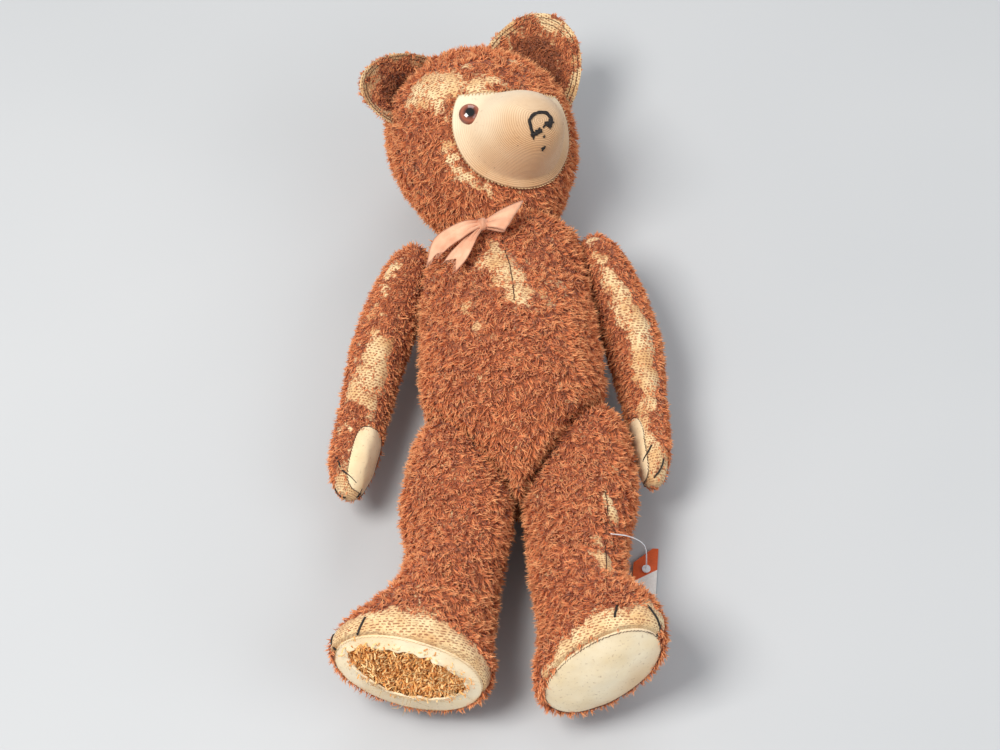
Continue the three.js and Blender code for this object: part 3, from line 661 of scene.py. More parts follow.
def makePileTree():
    # strands rooted on a skin, leaning with its nap, matted into locks, and cut away where it is worn or bare
    tree, wire, port = newTree(
        "mohairPile",
        {
            "Geometry": "Geometry", "Strand": "Object", "Finish": "Material", "Density": "Float",
            "Length": "Float", "Width": "Float", "Lean": "Float", "Matting": "Float", "Locks": "Float",
            "Gather": "Float", "Scatter": "Float", "Seed": "Int",
        },
    )
    roots = wire.node(
        "GeometryNodeDistributePointsOnFaces", {"distribute_method": "RANDOM"},
        {"Mesh": port["Geometry"], "Density": port["Density"], "Seed": port["Seed"]},
    )
    place = wire.node("GeometryNodeInputPosition")
    worn = raggedWear(wire, namedValue(wire, "worn"), place)
    keepChance = randomFrom(wire, 0.0, 1.0, port["Seed"] + 3)
    gone = (0.5 - worn + (keepChance - 0.5) * 0.65) < 0.0
    covered = 0.5 - namedValue(wire, "bare") < 0.0
    rooted = wire.node(
        "GeometryNodeDeleteGeometry", {"domain": "POINT"}, {0: roots, 1: gone.sum("MAXIMUM", gone, covered)}
    )
    # of each lock
    heart = wire.node("ShaderNodeTexVoronoi", {}, {"Vector": place, "Scale": port["Locks"]}, "Position")
    pull = vectorSum(wire, "SCALE", vectorSum(wire, "SUBTRACT", heart, place), port["Gather"])
    bent = vectorSum(
        wire, "SCALE", vectorSum(wire, "SUBTRACT", heart.other("Color"), (0.5, 0.5, 0.5)), port["Matting"]
    )
    lockLean = vectorSum(wire, "ADD", pull, bent)
    stray = vectorSum(
        wire, "SCALE", randomFrom(wire, (-1, -1, -1), (1, 1, 1), port["Seed"] + 5, True), port["Scatter"]
    )
    nap = vectorSum(wire, "SCALE", namedValue(wire, "nap", "FLOAT_VECTOR"), port["Lean"])
    direction = vectorSum(
        wire, "ADD", vectorSum(wire, "ADD", roots.other("Normal"), nap),
        vectorSum(wire, "ADD", lockLean, stray)
    )
    lockTone = wire.node("ShaderNodeSeparateXYZ", {}, {0: heart.other("Color")}, 1)
    lockShade = grain(wire, 110, 2.0, vectorSum(wire, "ADD", place, (3.0, 1.0, 2.0)))
    tall = port["Length"] * randomFrom(wire, 0.62, 1.18, port["Seed"] + 7)
    tall = tall * (1 - worn.clamped() * 0.6) * (lockShade * 0.9 + 0.55)
    size = wire.node("ShaderNodeCombineXYZ", {}, {0: port["Width"], 1: tall, 2: tall})
    blade = wire.node(
        "GeometryNodeObjectInfo", {"transform_space": "ORIGINAL"}, {"Object": port["Strand"]}, "Geometry"
    )
    strands = wire.node(
        "GeometryNodeInstanceOnPoints", {},
        {
            "Points": rooted, "Instance": blade, "Scale": size,
            "Rotation": standing(wire, direction, randomFrom(wire, 0.0, 6.283, port["Seed"] + 11)),
        },
    )
    # shade is each strand's own tone, its lock's tone and a slow mottle, with painted shade in the partings:
    # strands rooted near a lock's edge are made darker
    shade = randomFrom(wire, 0.0, 0.3, port["Seed"] + 13) + lockTone * 0.4 + (lockShade - 0.5) * 1.3
    shade = shade + 0.5 - heart.other("Distance") * 0.6
    endTree(wire, stored(wire, strands, "shade", shade.clamped()), port["Finish"])
    return tree


def makeStitchTree():
    # stitches along a path, turned off its line by an angle
    tree, wire, port = newTree(
        "stitchRow",
        {
            "Geometry": "Geometry", "Stitch": "Object", "Finish": "Material", "Pitch": "Float",
            "Stitch Length": "Float", "Thickness": "Float", "Slant": "Float", "Unevenness": "Float",
            "Seed": "Int",
        },
    )
    line = wire.node("GeometryNodeMeshToCurve", {}, {0: port["Geometry"]})
    even = wire.node(
        "GeometryNodeResampleCurve", {"mode": "LENGTH"}, {"Curve": line, "Length": port["Pitch"]}
    )
    run = wire.node(
        "FunctionNodeAlignRotationToVector", {"axis": "X"}, {"Vector": wire.node("GeometryNodeInputTangent")}
    )
    flat = wire.node(
        "FunctionNodeAlignRotationToVector", {"axis": "Z", "pivot_axis": "X"},
        {"Rotation": run, "Vector": namedValue(wire, "up", "FLOAT_VECTOR")},
    )
    slant = port["Slant"] + (randomFrom(wire, -1.0, 1.0, port["Seed"])) * port["Unevenness"]
    twist = wire.node("FunctionNodeAxisAngleToRotation", {}, {0: (0, 0, 1), 1: slant})
    aim = wire.node("FunctionNodeRotateRotation", {"rotation_space": "LOCAL"}, {0: flat, 1: twist})
    long = port["Stitch Length"] * (1 + randomFrom(wire, -0.5, 0.5, port["Seed"] + 2) * port["Unevenness"])
    size = wire.node("ShaderNodeCombineXYZ", {}, {0: long, 1: port["Thickness"], 2: port["Thickness"]})
    bar = wire.node(
        "GeometryNodeObjectInfo", {"transform_space": "ORIGINAL"}, {"Object": port["Stitch"]}, "Geometry"
    )
    row = wire.node(
        "GeometryNodeInstanceOnPoints", {}, {"Points": even, "Instance": bar, "Rotation": aim, "Scale": size}
    )
    endTree(wire, row, port["Finish"])
    return tree


def makeShavingTree():
    # curled wood shavings packed on a surface
    tree, wire, port = newTree(
        "packedShavings",
        {
            "Geometry": "Geometry", "Shaving": "Object", "Finish": "Material", "Density": "Float",
            "Length": "Float", "Width": "Float", "Rise": "Float", "Seed": "Int",
        },
    )
    roots = wire.node(
        "GeometryNodeDistributePointsOnFaces", {"distribute_method": "RANDOM"},
        {"Mesh": port["Geometry"], "Density": port["Density"], "Seed": port["Seed"]},
    )
    spin = randomFrom(wire, (-1, -1, -1), (1, 1, 1), port["Seed"] + 1, True)
    direction = vectorSum(wire, "ADD", spin, vectorSum(wire, "SCALE", roots.other("Normal"), port["Rise"]))
    tall = port["Length"] * randomFrom(wire, 0.5, 1.3, port["Seed"] + 2)
    size = wire.node("ShaderNodeCombineXYZ", {}, {0: port["Width"], 1: tall, 2: tall})
    curl = wire.node(
        "GeometryNodeObjectInfo", {"transform_space": "ORIGINAL"}, {"Object": port["Shaving"]}, "Geometry"
    )
    heap = wire.node(
        "GeometryNodeInstanceOnPoints", {},
        {
            "Points": roots, "Instance": curl, "Scale": size,
            "Rotation": standing(wire, direction, randomFrom(wire, 0.0, 6.283, port["Seed"] + 3)),
        },
    )
    endTree(wire, stored(wire, heap, "shade", randomFrom(wire, 0.0, 1.0, port["Seed"] + 4)), port["Finish"])
    return tree


def grown(mesh, tree, **values):
    # a mesh put through a geometry tree, as a plain mesh
    carrier = bpy.data.objects.new("carrier", mesh)
    scene.collection.objects.link(carrier)
    step = carrier.modifiers.new("grow", "NODES")
    step.node_group = tree
    names = {key.replace("_", " "): value for key, value in values.items()}
    for item in tree.interface.items_tree:
        if item.item_type == "SOCKET" and item.in_out == "INPUT" and item.name in names:
            step[item.identifier] = names[item.name]
    plain = bpy.data.meshes.new_from_object(carrier.evaluated_get(bpy.context.evaluated_depsgraph_get()))
    bpy.data.objects.remove(carrier)
    return plain


def loosePart(name, points, faces, **marks):
    # a small shape that a tree repeats
    mesh = bpy.data.meshes.new(name)
    mesh.from_pydata(points, [], faces)
    for mark, values in marks.items():
        mesh.attributes.new(mark, "FLOAT", "POINT").data.foreach_set("value", values)
    mesh.shade_smooth()
    made = bpy.data.objects.new(name, mesh)
    scene.collection.objects.link(made)
    return made


strandPart = loosePart(
    "strand",
    [(-0.5, 0, -0.06), (0.5, 0, -0.06), (-0.42, 0.1, 0.55), (0.42, 0.1, 0.55), (0, 0.42, 0.95)],
    [(0, 1, 3, 2), (2, 3, 4)],
    tip=[0, 0, 0.55, 0.55, 1],
)
stitchPoints, stitchFaces, _ = threadTube(
    [(x, 0, 0.5 - 2.2 * x * x) for x in (-0.5, -0.38, -0.14, 0.14, 0.38, 0.5)],
    [0.2, 0.46, 0.5, 0.5, 0.46, 0.2], 6
)
stitchPart = loosePart("stitch", stitchPoints.tolist(), stitchFaces)
curlAt = np.linspace(0, 1, 9)
curlLine = np.stack([np.zeros(9), 0.16 * np.sin(curlAt * 9.5), curlAt - 0.5], axis=1)
shavingPart = loosePart(
    "shaving",
    [(s * 0.5, float(p[1]), float(p[2])) for p in curlLine for s in (-1, 1)],
    [(2 * i, 2 * i + 1, 2 * i + 3, 2 * i + 2) for i in range(8)],
)
pileTree, stitchTree, shavingTree = makePileTree(), makeStitchTree(), makeShavingTree()


def atlasOf(mesh, corners, places):
    # one small square of the bake for each strand, so that each keeps its own colours
    loops = np.empty(len(mesh.loops), np.int32)
    mesh.loops.foreach_get("vertex_index", loops)
    strand, corner = loops // corners, loops % corners
    side = math.ceil(math.sqrt(len(mesh.vertices) / corners))
    places = np.asarray(places)[corner]
    uv = np.stack([(strand % side + places[:, 0]) / side, (strand // side + places[:, 1]) / side], axis=1)
    mesh.uv_layers.new(name="OFBake").data.foreach_set("uv", uv.astype(np.float32).ravel())


def growPile(skin, body, own, seed, finish="mohair"):
    mesh = grown(
        skin.data, pileTree, Strand=strandPart, Finish=finishes[finish], Density=own["density"] * 1e4,
        Length=own["length"] * mm, Width=own["width"] * mm, Lean=own["lean"], Matting=own["matting"],
        Locks=1000 / own["lock"], Gather=own["gather"] * 1000 / own["length"], Scatter=own["scatter"],
        Seed=seed,
    )
    for spare in ("worn", "nap", "bare"):
        if spare in mesh.attributes:
            mesh.attributes.remove(mesh.attributes[spare])
    while mesh.uv_layers:
        mesh.uv_layers.remove(mesh.uv_layers[0])
    atlasOf(mesh, 5, [(0.2, 0.15), (0.8, 0.15), (0.25, 0.5), (0.75, 0.5), (0.5, 0.85)])
    made = bpy.data.objects.new(
        skin.name.replace("Skin", "") + "Pile" + ("" if finish == "mohair" else "Dusk"), mesh
    )
    scene.collection.objects.link(made)
    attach(made, body)
    print(made.name, len(mesh.polygons) // 2, "strands")
    return made


def sewRow(name, rows, ups, body, own, finish):
    # rows of stitches along paths in mm, with the direction off the cloth at each point
    points = np.concatenate(rows) * mm
    edges, at = [], 0
    for row in rows:
        edges += [(at + i, at + i + 1) for i in range(len(row) - 1)]
        at += len(row)
    path = bpy.data.meshes.new(name)
    path.from_pydata(points.tolist(), edges, [])
    path.attributes.new("up", "FLOAT_VECTOR", "POINT").data.foreach_set(
        "vector", np.concatenate(ups).astype(np.float32).ravel()
    )
    mesh = grown(
        path, stitchTree, Stitch=stitchPart, Finish=finishes[finish], Pitch=own["pitch"] * mm,
        Stitch_Length=own["long"] * mm, Thickness=own["thick"] * mm, Slant=own["slant"],
        Unevenness=own["uneven"], Seed=5,
    )
    made = bpy.data.objects.new(name, mesh)
    scene.collection.objects.link(made)
    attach(made, body)
    return made


print("trees made")

# the bear's own measures in mm, as the CAD has them
clothInset = {"furred": 2.6, "worn": 0.4}  # the backing lies this far under the matted pile
joints = {
    "shoulder": {"x": 57, "y": 76, "z": 52, "drop": 8, "splay": {1: 5, -1: 14}},
    "hip": {"x": 32, "y": -66, "z": 46, "tilt": 40},
    "neck": {"at": (2, 113, 60), "lean": 6, "roll": 9, "turn": 22},
}
jointGap = 0.75


def rotation(axis, degreesTurned):
    return Matrix.Rotation(math.radians(degreesTurned), 4, axis)


neckPlace = Matrix.Translation(joints["neck"]["at"]) @ rotation("Z", joints["neck"]["roll"])
headPlace = neckPlace @ rotation("X", joints["neck"]["lean"]) @ rotation("Y", joints["neck"]["turn"])
facePlace = headPlace @ Matrix.Translation((0, 80, 0)) @ rotation("X", 22)
neckSlope = rotation("Z", joints["neck"]["roll"]) @ rotation("X", joints["neck"]["lean"])
neckAxis = np.array(neckSlope.to_3x3() @ Vector((0, 1, 0)))


def armPlace(side):
    at = joints["shoulder"]
    shoulder = Matrix.Translation((side * at["x"], at["y"], at["z"]))
    return shoulder @ rotation("Z", side * at["splay"][side]) @ rotation("X", at["drop"])


def shoulderAxis(side):
    splay = math.radians(joints["shoulder"]["splay"][side])
    return np.array([side * math.cos(splay), math.sin(splay), 0])


def hipAxis(side):
    tilt = math.radians(joints["hip"]["tilt"])
    return np.array([side * math.cos(tilt), -math.sin(tilt), 0])


def jointPoint(name, side=1):
    at = joints[name]
    return np.array(at["at"], float) if "at" in at else np.array([side * at["x"], at["y"], at["z"]], float)


def wearOf(points, places, speckle=0.0, size=11.0, seed=0.0, most=1.2):
    # how worn each point is: round places (x, y, z, radius, strength) and a scatter of small ones
    worn = np.zeros(len(points))
    for x, y, z, radius, strength in places:
        worn += strength * np.exp(-np.sum((points - (x, y, z)) ** 2, axis=1) / radius**2)
    if speckle:
        worn += speckle * np.clip(
            noiseOf(points, size, seed) * 0.7 + noiseOf(points, size * 0.4, seed + 1) * 0.7 - 0.2, 0, 1
        )
    return np.clip(worn, 0, most)


def lumpy(points, normals, amount, size, seed):
    return points + normals * (
        noiseOf(points, size, seed) * amount + noiseOf(points, size / 3, seed + 4) * amount * 0.35
    )[:, None]


def napOf(points, normals, down, swirl, seed):
    # the way the pile lies: down the limb, turned about by slow noise
    side = np.cross(normals, down)
    turn = noiseOf(points, 38, seed) * swirl
    lie = np.asarray(down)[None] * np.cos(turn)[:, None] + side * np.sin(turn)[:, None]
    lie = lie - normals * np.sum(lie * normals, axis=1, keepdims=True)
    return lie / np.maximum(np.linalg.norm(lie, axis=1, keepdims=True), 0.2)


# torso
torso = {
    "stations": [
        (126, 1, 58, 58, 52), (104, 1, 57, 54, 43), (70, 0, 54, 62, 51), (22, 0, 55, 63, 58),
        (-24, 0, 57, 64, 60), (-62, 0, 54, 55, 52), (-90, 0, 50, 36, 40), (-108, 0, 48, 40, 42),
    ],
    "worn": [
        (-6, 72, 103, 7, 0.8), (-13, 60, 104, 8, 0.85), (-3, 56, 106, 9, 1.0), (3, 46, 108, 9, 1.0),
        (0, 38, 109, 7, 0.9), (9, 34, 110, 9, 0.95), (10, 20, 110, 8, 0.85), (24, 26, 107, 6, 0.65),
        (33, 18, 103, 5, 0.6), (30, 42, 102, 6, 0.6), (42, 38, 97, 6, 0.65), (46, 24, 97, 5, 0.5),
        (-28, 22, 106, 6, 0.6), (-22, -2, 111, 5, 0.5), (-52, 64, 84, 6, 0.5), (-22, 6, 108, 5, 0.45),
        (5, -6, 112, 5, 0.4),
    ],
    "most": 0.7,
    "pile": {
        "density": 80, "length": 5.6, "width": 0.88, "lean": 1.0, "matting": 1.9, "lock": 4.6,
        "gather": 0.95, "scatter": 0.22
    },
}


def makeSkin(
    name, rings, body, places, presses, node, own, seed, down=(0, -1, 0), bare=None, dropFace=None,
    speckle=0.75, rub=None
):
    points, faces, cloth = ringSheet(rings)
    faces, cloth = facingOut(points, faces, cloth)
    normals = normalsOf(points, faces)
    bald = wearOf(points, places)[:, None].clip(0, 1)
    inset = clothInset["furred"] * (1 - bald) + clothInset["worn"] * bald
    points = lumpy(points - normals * inset, normals, 0.7, 24, seed)
    for press in presses:
        points, _ = pressed(points, **press)
    normals = normalsOf(points, faces)
    worn = wearOf(points, places, speckle, 9, seed, own.get("most", 1.2))
    if rub:
        worn = np.clip(worn + rub(points), 0, 1.2)
    covered = bare(points) if bare else np.zeros(len(points))
    if dropFace:
        middle = np.array([points[f].mean(axis=0) for f in faces])
        keep = ~dropFace(middle)
        kept, coords, at = [], [], 0
        for face, stays in zip(faces, keep):
            if stays:
                kept.append(face)
                coords += cloth[at : at + len(face)]
            at += len(face)
        faces, cloth = kept, coords
    skin = addPiece(
        name, points, faces, "backing", body, "mohair", cloth,
        worn=worn, bare=covered, nap=napOf(points, normals, down, own.get("swirl", 0.9), seed + 9),
    )
    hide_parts(node)
    if not dropFace:
        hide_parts(node.replace("_cover", "_stuffing"))
    return skin, lookup(points, faces)


def flatAt(point, outward, gap=jointGap, extra=1.0):
    return {"point": point - outward * gap, "normal": outward, "back": extra}


def makeTorso(own):
    presses = [
        {"point": np.zeros(3), "normal": np.array([0, 0, -1.0]), "back": 0.6},
        flatAt(jointPoint("neck"), neckAxis)
    ]
    for side in (1, -1):
        presses += [
            flatAt(jointPoint("shoulder", side), shoulderAxis(side)),
            flatAt(jointPoint("hip", side), hipAxis(side))
        ]
    rings = stuffedForm(own["stations"], 96, 84)
    skin, tree = makeSkin("torsoSkin", rings, "torso", own["worn"], presses, "torso_cover", own, 1)
    growPile(skin, "torso", own["pile"], 11)
    seam = smoothPath([(-2, 100, 96), (0, 80, 105), (3, 60, 108), (5, 38, 112), (5, 20, 114)], 40)
    path, ups = laidOn(tree, seam, 0.1)
    sewRow(
        "chestSeam", [path], [ups], "torso",
        {"pitch": 2.6, "long": 2.3, "thick": 0.7, "slant": 0.1, "uneven": 0.3}, "brownThread"
    )


makeTorso(torso)
print("torso made")

# head
head = {
    "stations": [
        (148, 0, -4, 66, 62), (136, 0, -2, 50, 47), (112, 0, 0, 66, 63), (80, 0, 2, 70, 67),
        (46, 0, 3, 63, 58), (14, 0, 1, 45, 42), (-14, 0, 0, 46, 46),
    ],
    "snout": [
        (101, 0, 4, 27, 25), (84, 0, 5, 27, 25), (62, 0, 8, 35, 33), (44, 0, 9, 41, 38), (24, 0, 8, 40, 38)
    ],
    "worn": [
        (-52, 205, 122, 8, 1.0), (-45, 205, 127, 8, 1.0), (-38, 200, 130, 8, 1.0), (-31, 194, 133, 7, 1.0),
        (-24, 191, 135, 6, 0.95), (-42, 187, 130, 7, 0.75), (-48, 195, 125, 7, 0.8),
        (-12, 188, 138, 5, 0.95), (-4, 185, 138, 5, 0.9), (2, 184, 137, 4, 0.7), (-36, 178, 130, 5, 0.5),
        (-58, 196, 118, 8, 0.75), (-28, 204, 132, 8, 0.65), (-44, 214, 122, 7, 0.55),
        (-10, 196, 137, 7, 0.65), (12, 190, 136, 6, 0.65), (22, 196, 133, 5, 0.6),
        (-18, 214, 134, 5, 0.55), (-2, 200, 135, 6, 0.6), (6, 197, 134, 4, 0.5), (18, 226, 122, 6, 0.5),
        (30, 214, 122, 5, 0.45), (-34, 152, 120, 5, 0.8), (-32, 143, 115, 6, 0.85),
        (-26, 134, 110, 6, 0.85), (-18, 127, 107, 5, 0.8), (-8, 122, 105, 5, 0.6), (46, 186, 128, 9, 0.8),
        (54, 176, 110, 9, 0.8), (56, 160, 100, 8, 0.7),
    ],
    "pile": {
        "density": 80, "length": 5.2, "width": 0.84, "lean": 0.9, "matting": 2.0, "lock": 4.2,
        "gather": 0.95, "scatter": 0.22
    },
    "fill": 0.95,
    "most": 0.8,
}
mask = {"brow": 23.5, "half": 45, "drop": 46, "browHalf": 36, "rings": 64, "around": 128, "lift": 0.7}


def bezier(points, count):
    t = np.linspace(0, 1, count)[:, None]
    points = [np.asarray(p, float) for p in points]
    while len(points) > 1:
        points = [a * (1 - t) + b * t for a, b in zip(points, points[1:])]
    return points[0]


def maskOutline(own, count=120):
    half, drop, brow, top = own["half"], own["drop"], own["brow"], own["browHalf"]
    parts = [
        bezier([(-top - 3, brow - 1), (-half - 5, 6), (-half - 2, -26), (-24, -drop + 7)], 40),
        bezier([(-24, -drop + 7), (0, -drop - 6), (24, -drop + 7)], 30),
        bezier([(24, -drop + 7), (half + 2, -26), (half + 6, 8), (top, brow)], 40),
        bezier([(top, brow), (-top - 3, brow - 1)], 30),
    ]
    line = np.concatenate([p[:-1] for p in parts])
    gaps = np.concatenate(
        [[0], np.cumsum(np.linalg.norm(np.diff(np.vstack([line, line[:1]]), axis=0), axis=1))]
    )
    at = np.linspace(0, gaps[-1], count, endpoint=False)
    closed = np.vstack([line, line[:1]])
    return np.stack([np.interp(at, gaps, closed[:, k]) for k in (0, 1)], axis=1)


def inOutline(points, outline):
    # signed distance to a closed outline, positive inside
    a, b = outline, np.roll(outline, -1, axis=0)
    near = np.full(len(points), 1e9)
    inside = np.zeros(len(points), bool)
    for p, q in zip(a, b):
        edge = q - p
        t = np.clip(((points - p) @ edge) / max(edge @ edge, 1e-9), 0, 1)
        near = np.minimum(near, np.linalg.norm(points - (p + t[:, None] * edge), axis=1))
        crosses = (p[1] > points[:, 1]) != (q[1] > points[:, 1])
        inside ^= crosses & (
            points[:, 0] < (q[0] - p[0]) * (points[:, 1] - p[1]) / (q[1] - p[1] + 1e-12) + p[0]
        )
    return np.where(inside, near, -near)


def makeHead(own, cover):
    outline = maskOutline(cover, cover["around"])
    toFace = facePlace.inverted()

    def bare(points):
        local = turned(toFace, points)
        return np.where(local[:, 2] > 5, np.clip(0.5 + inOutline(local[:, :2], outline) / 5 + 0.1, 0, 1), 0)

    rings = turned(headPlace, stuffedForm(own["stations"], 96, 84).reshape(-1, 3)).reshape(85, 96, 3)
    presses = [flatAt(jointPoint("neck"), -neckAxis)]
    down = np.array(headPlace.to_3x3() @ Vector((0, -1, -0.15)))
    skin, headTree = makeSkin(
        "headSkin", rings, "head", own["worn"], presses, "head_cover", own, 2, down, bare
    )
    growPile(skin, "head", own["pile"], 21)

    # the muzzle: the mask's cloth over the head and the snout together
    snout = stuffedForm(own["snout"], 64, 48, 0.62).reshape(-1, 3)
    snout = np.stack([snout[:, 0], -snout[:, 2], snout[:, 1]], axis=1)
    snoutPoints, snoutFaces, _ = ringSheet(turned(facePlace, snout).reshape(49, 64, 3))
    form = turned(headPlace, stuffedForm(own["stations"], 72, 60).reshape(-1, 3)).reshape(61, 72, 3)
    formPoints, formFaces, _ = ringSheet(form)
    both = lookup(
        np.concatenate([formPoints, snoutPoints]),
        formFaces + [[i + len(formPoints) for i in f] for f in snoutFaces]
    )
    headOnly = lookup(formPoints, formFaces)
    heart = turned(facePlace, [(0, -8, 22)])[0]
    forward = np.array(facePlace.to_3x3() @ Vector((0, 0, 1)))
    rim = []
    for x, y in outline:
        far = turned(facePlace, [(x, y, 160)])[0]
        hit, _, _, _ = headOnly.ray_cast(Vector(far), Vector(-forward))
        rim.append(unit(np.array(hit) - heart))
    rim = np.array(rim)
    grid = np.empty((cover["rings"] + 1, cover["around"], 3))
    middle = unit(turned(facePlace, [(0, -6, 100)])[0] - heart)
    for i in range(cover["rings"] + 1):
        share = i / cover["rings"]
        for j in range(cover["around"]):
            hit, _ = castIn(both, heart, middle * (1 - share) + rim[j] * share)
            grid[i, j] = hit
    for _ in range(14):  # the cloth bridges the hollow between snout and cheek
        mean = (grid[:-2] + grid[2:] + np.roll(grid[1:-1], 1, axis=1) + np.roll(grid[1:-1], -1, axis=1)) / 4
        grid[1:-1] = grid[1:-1] * 0.4 + mean * 0.6
        grid[0] = grid[1].mean(axis=0)
    edge = grid[-1]
    outward = unit(edge - heart)
    grid = np.concatenate([grid, (edge - outward * 1.6 + (edge - grid[-2]) * 0.4)[None]])
    points, faces, cloth = ringSheet(grid, True, False)
    faces, cloth = facingOut(points, faces, cloth, forward)
    normals = normalsOf(points, faces)
    points = points + normals * (cover["lift"] + noiseOf(points, 16, 3.0)[:, None] * 0.25)
    muzzle = addPiece("muzzleKnit", points, faces, "knit", "head", "knit", cloth)
    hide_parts("face_mask")
    tree = lookup(points, faces)
    row, ups = laidOn(tree, np.vstack([edge, edge[:1]]), 0.15)
    sewRow(
        "muzzleSeam", [row], [ups], "head",
        {"pitch": 2.5, "long": 2.6, "thick": 0.75, "slant": 1.35, "uneven": 0.3}, "creamThread"
    )
    return headTree, tree


headTree, muzzleTree = makeHead(head, mask)
print("head made")

# eyes, nose and mouth
eye = {
    "x": 34, "y": 7.5, "depth": 58.5, "radius": 8, "dome": 4.8,
    "hidden": {"out": 3.5, "sunk": 3.2, "aside": 0.3}
}
nose = {
    "at": (0.4, -7.4),
    "outline": [
        (-5.4, -8.8), (-7.6, -4), (-8.4, 1.2), (-5, 5.6), (-1, 7.2), (5, 7.2), (7.8, 4.4), (8.6, 0.8),
        (6.2, -1.4), (4, -0.4)
    ],
    "blob": [(8.2, 1.4), (6.6, -0.6), (4, -0.9)],
    "lower": [(-5.6, -8.6), (-3.2, -6.8), (-0.4, -5.4)],
    "mouth": [((1.6, -3.4), (2.4, -2.6)), ((2.6, -9.8), (3.2, -9.0)), ((3.8, -17.4), (5.4, -15.2))],
    "loose": [((-5.4, -9), (0.6, -2.6)), ((8.4, 0), (0.2, -2.8))],  # ends of thread: root and reach
}


def makeEye(side, own):
    far = own["hidden"] if side > 0 else {"out": 0, "sunk": 0, "aside": 0}  # the left eye sits further round
    spot = turned(facePlace, [(side * (own["x"] + far["out"]), own["y"], own["depth"])])[0]
    look = Vector(facePlace.to_3x3() @ Vector((side * (0.42 + far["aside"]), 0.12, 1))).normalized()
    hit, _, _, _ = muzzleTree.ray_cast(Vector(spot) + look * 40, -look)
    if hit is not None:
        spot = np.array(hit) - np.array(look) * (0.6 + far["sunk"])
    aim = Matrix.Translation(spot) @ look.to_track_quat("Z", "Y").to_matrix().to_4x4()
    profile = [
        (0, own["dome"]), (2.4, 4.6), (4.6, 3.9), (6.4, 2.75), (7.5, 1.4), (8, 0), (7.6, -1.2), (5, -1.8),
        (0, -2)
    ]
    line = throughPoints(profile, np.linspace(0, 1, 33))
    line[:, 0] = np.maximum(line[:, 0], 0)
    angle = np.arange(40) / 40 * 2 * math.pi
    rings = np.stack(
        [
            line[:, 0, None] * np.cos(angle), line[:, 0, None] * np.sin(angle),
            np.broadcast_to(line[:, 1, None], (33, 40))
        ], axis=2
    )
    flatPoints, faces, cloth = ringSheet(rings)
    ring = np.hypot(flatPoints[:, 0], flatPoints[:, 1]) / own["radius"]
    points = turned(aim, flatPoints)
    faces, cloth = facingOut(points, faces, cloth)
    name = "left" if side > 0 else "right"
    made = addPiece(name + "GlassEye", points, faces, "eyeGlass", "head", "eye_glass", cloth, ring=ring)
    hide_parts(name + "_eye")


for eyeSide in (1, -1):
    makeEye(eyeSide, eye)


def onMuzzle(points, lift):
    made = []
    forward = Vector(facePlace.to_3x3() @ Vector((0, 0, 1)))
    for x, y in points:
        far = turned(facePlace, [(x, y, 160)])[0]
        hit, normal, _, _ = muzzleTree.ray_cast(Vector(far), -forward)
        made.append(np.array(hit) + np.array(normal) * lift)
    return np.array(made)


def makeNose(own):
    rng = np.random.default_rng(4)
    steps = 46
    knots = np.linspace(0, steps - 1, 8)
    parts = []
    for line, strands, spread, radius in (
        (own["outline"], 9, 1.0, 0.6), (own["blob"], 9, 1.9, 0.7), (own["lower"], 9, 1.6, 0.7)
    ):
        base = smoothPath(line, steps)
        for _ in range(strands):
            drift = [np.interp(np.arange(steps), knots, rng.normal(0, spread * 0.55, 8)) for _ in (0, 1)]
            wander = np.stack(drift, axis=1)
            start, stop = rng.integers(0, 3), steps - rng.integers(0, 4)
            flat = (base + wander + own["at"])[start:stop]
            parts.append(
                threadTube(onMuzzle(flat, 0.25 + rng.random() * 0.45), radius * rng.uniform(0.75, 1.15))
            )
    for a, b in own["mouth"]:
        for _ in range(4):
            ends = np.array([a, b]) + rng.normal(0, 0.45, (2, 2)) + own["at"]
            parts.append(threadTube(onMuzzle(smoothPath(ends, 8), 0.3), 0.5))
    for at, reach in own["loose"]:
        foot = np.array(at)
        tail = smoothPath([foot, foot + np.array(reach) * 0.5, foot + reach], 10) + own["at"]
        parts.append(threadTube(onMuzzle(tail, 0.4), 0.3))
    points, faces, cloth = gathered(parts)
    made = addPiece("noseStitches", points, faces, "blackThread", "head", "thread", cloth)
    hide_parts("nose_thread")


makeNose(nose)
print("face made")

# ears
ear = {
    "thick": 3.4,
    1: {
        "at": (45, 54, 8), "across": (0.845, -0.535, 0), "out": (0.51, 0.73, 0.455), "wide": 38, "tall": 56,
        "cup": 12
    },
    -1: {
        "at": (-53, 43, 3), "across": (-0.12, -0.85, -0.53), "out": (-0.95, -0.06, 0.31), "wide": 28,
        "tall": 46, "cup": 18
    },
    "pile": {
        "density": 80, "length": 3.8, "width": 0.7, "lean": 0.9, "matting": 1.8, "lock": 3.2, "gather": 0.7,
        "scatter": 0.35
    },
    "inner": {
        "density": 80, "length": 5.4, "width": 0.72, "lean": 0.6, "matting": 2.0, "lock": 3.6,
        "gather": 0.8, "scatter": 0.35
    },
}


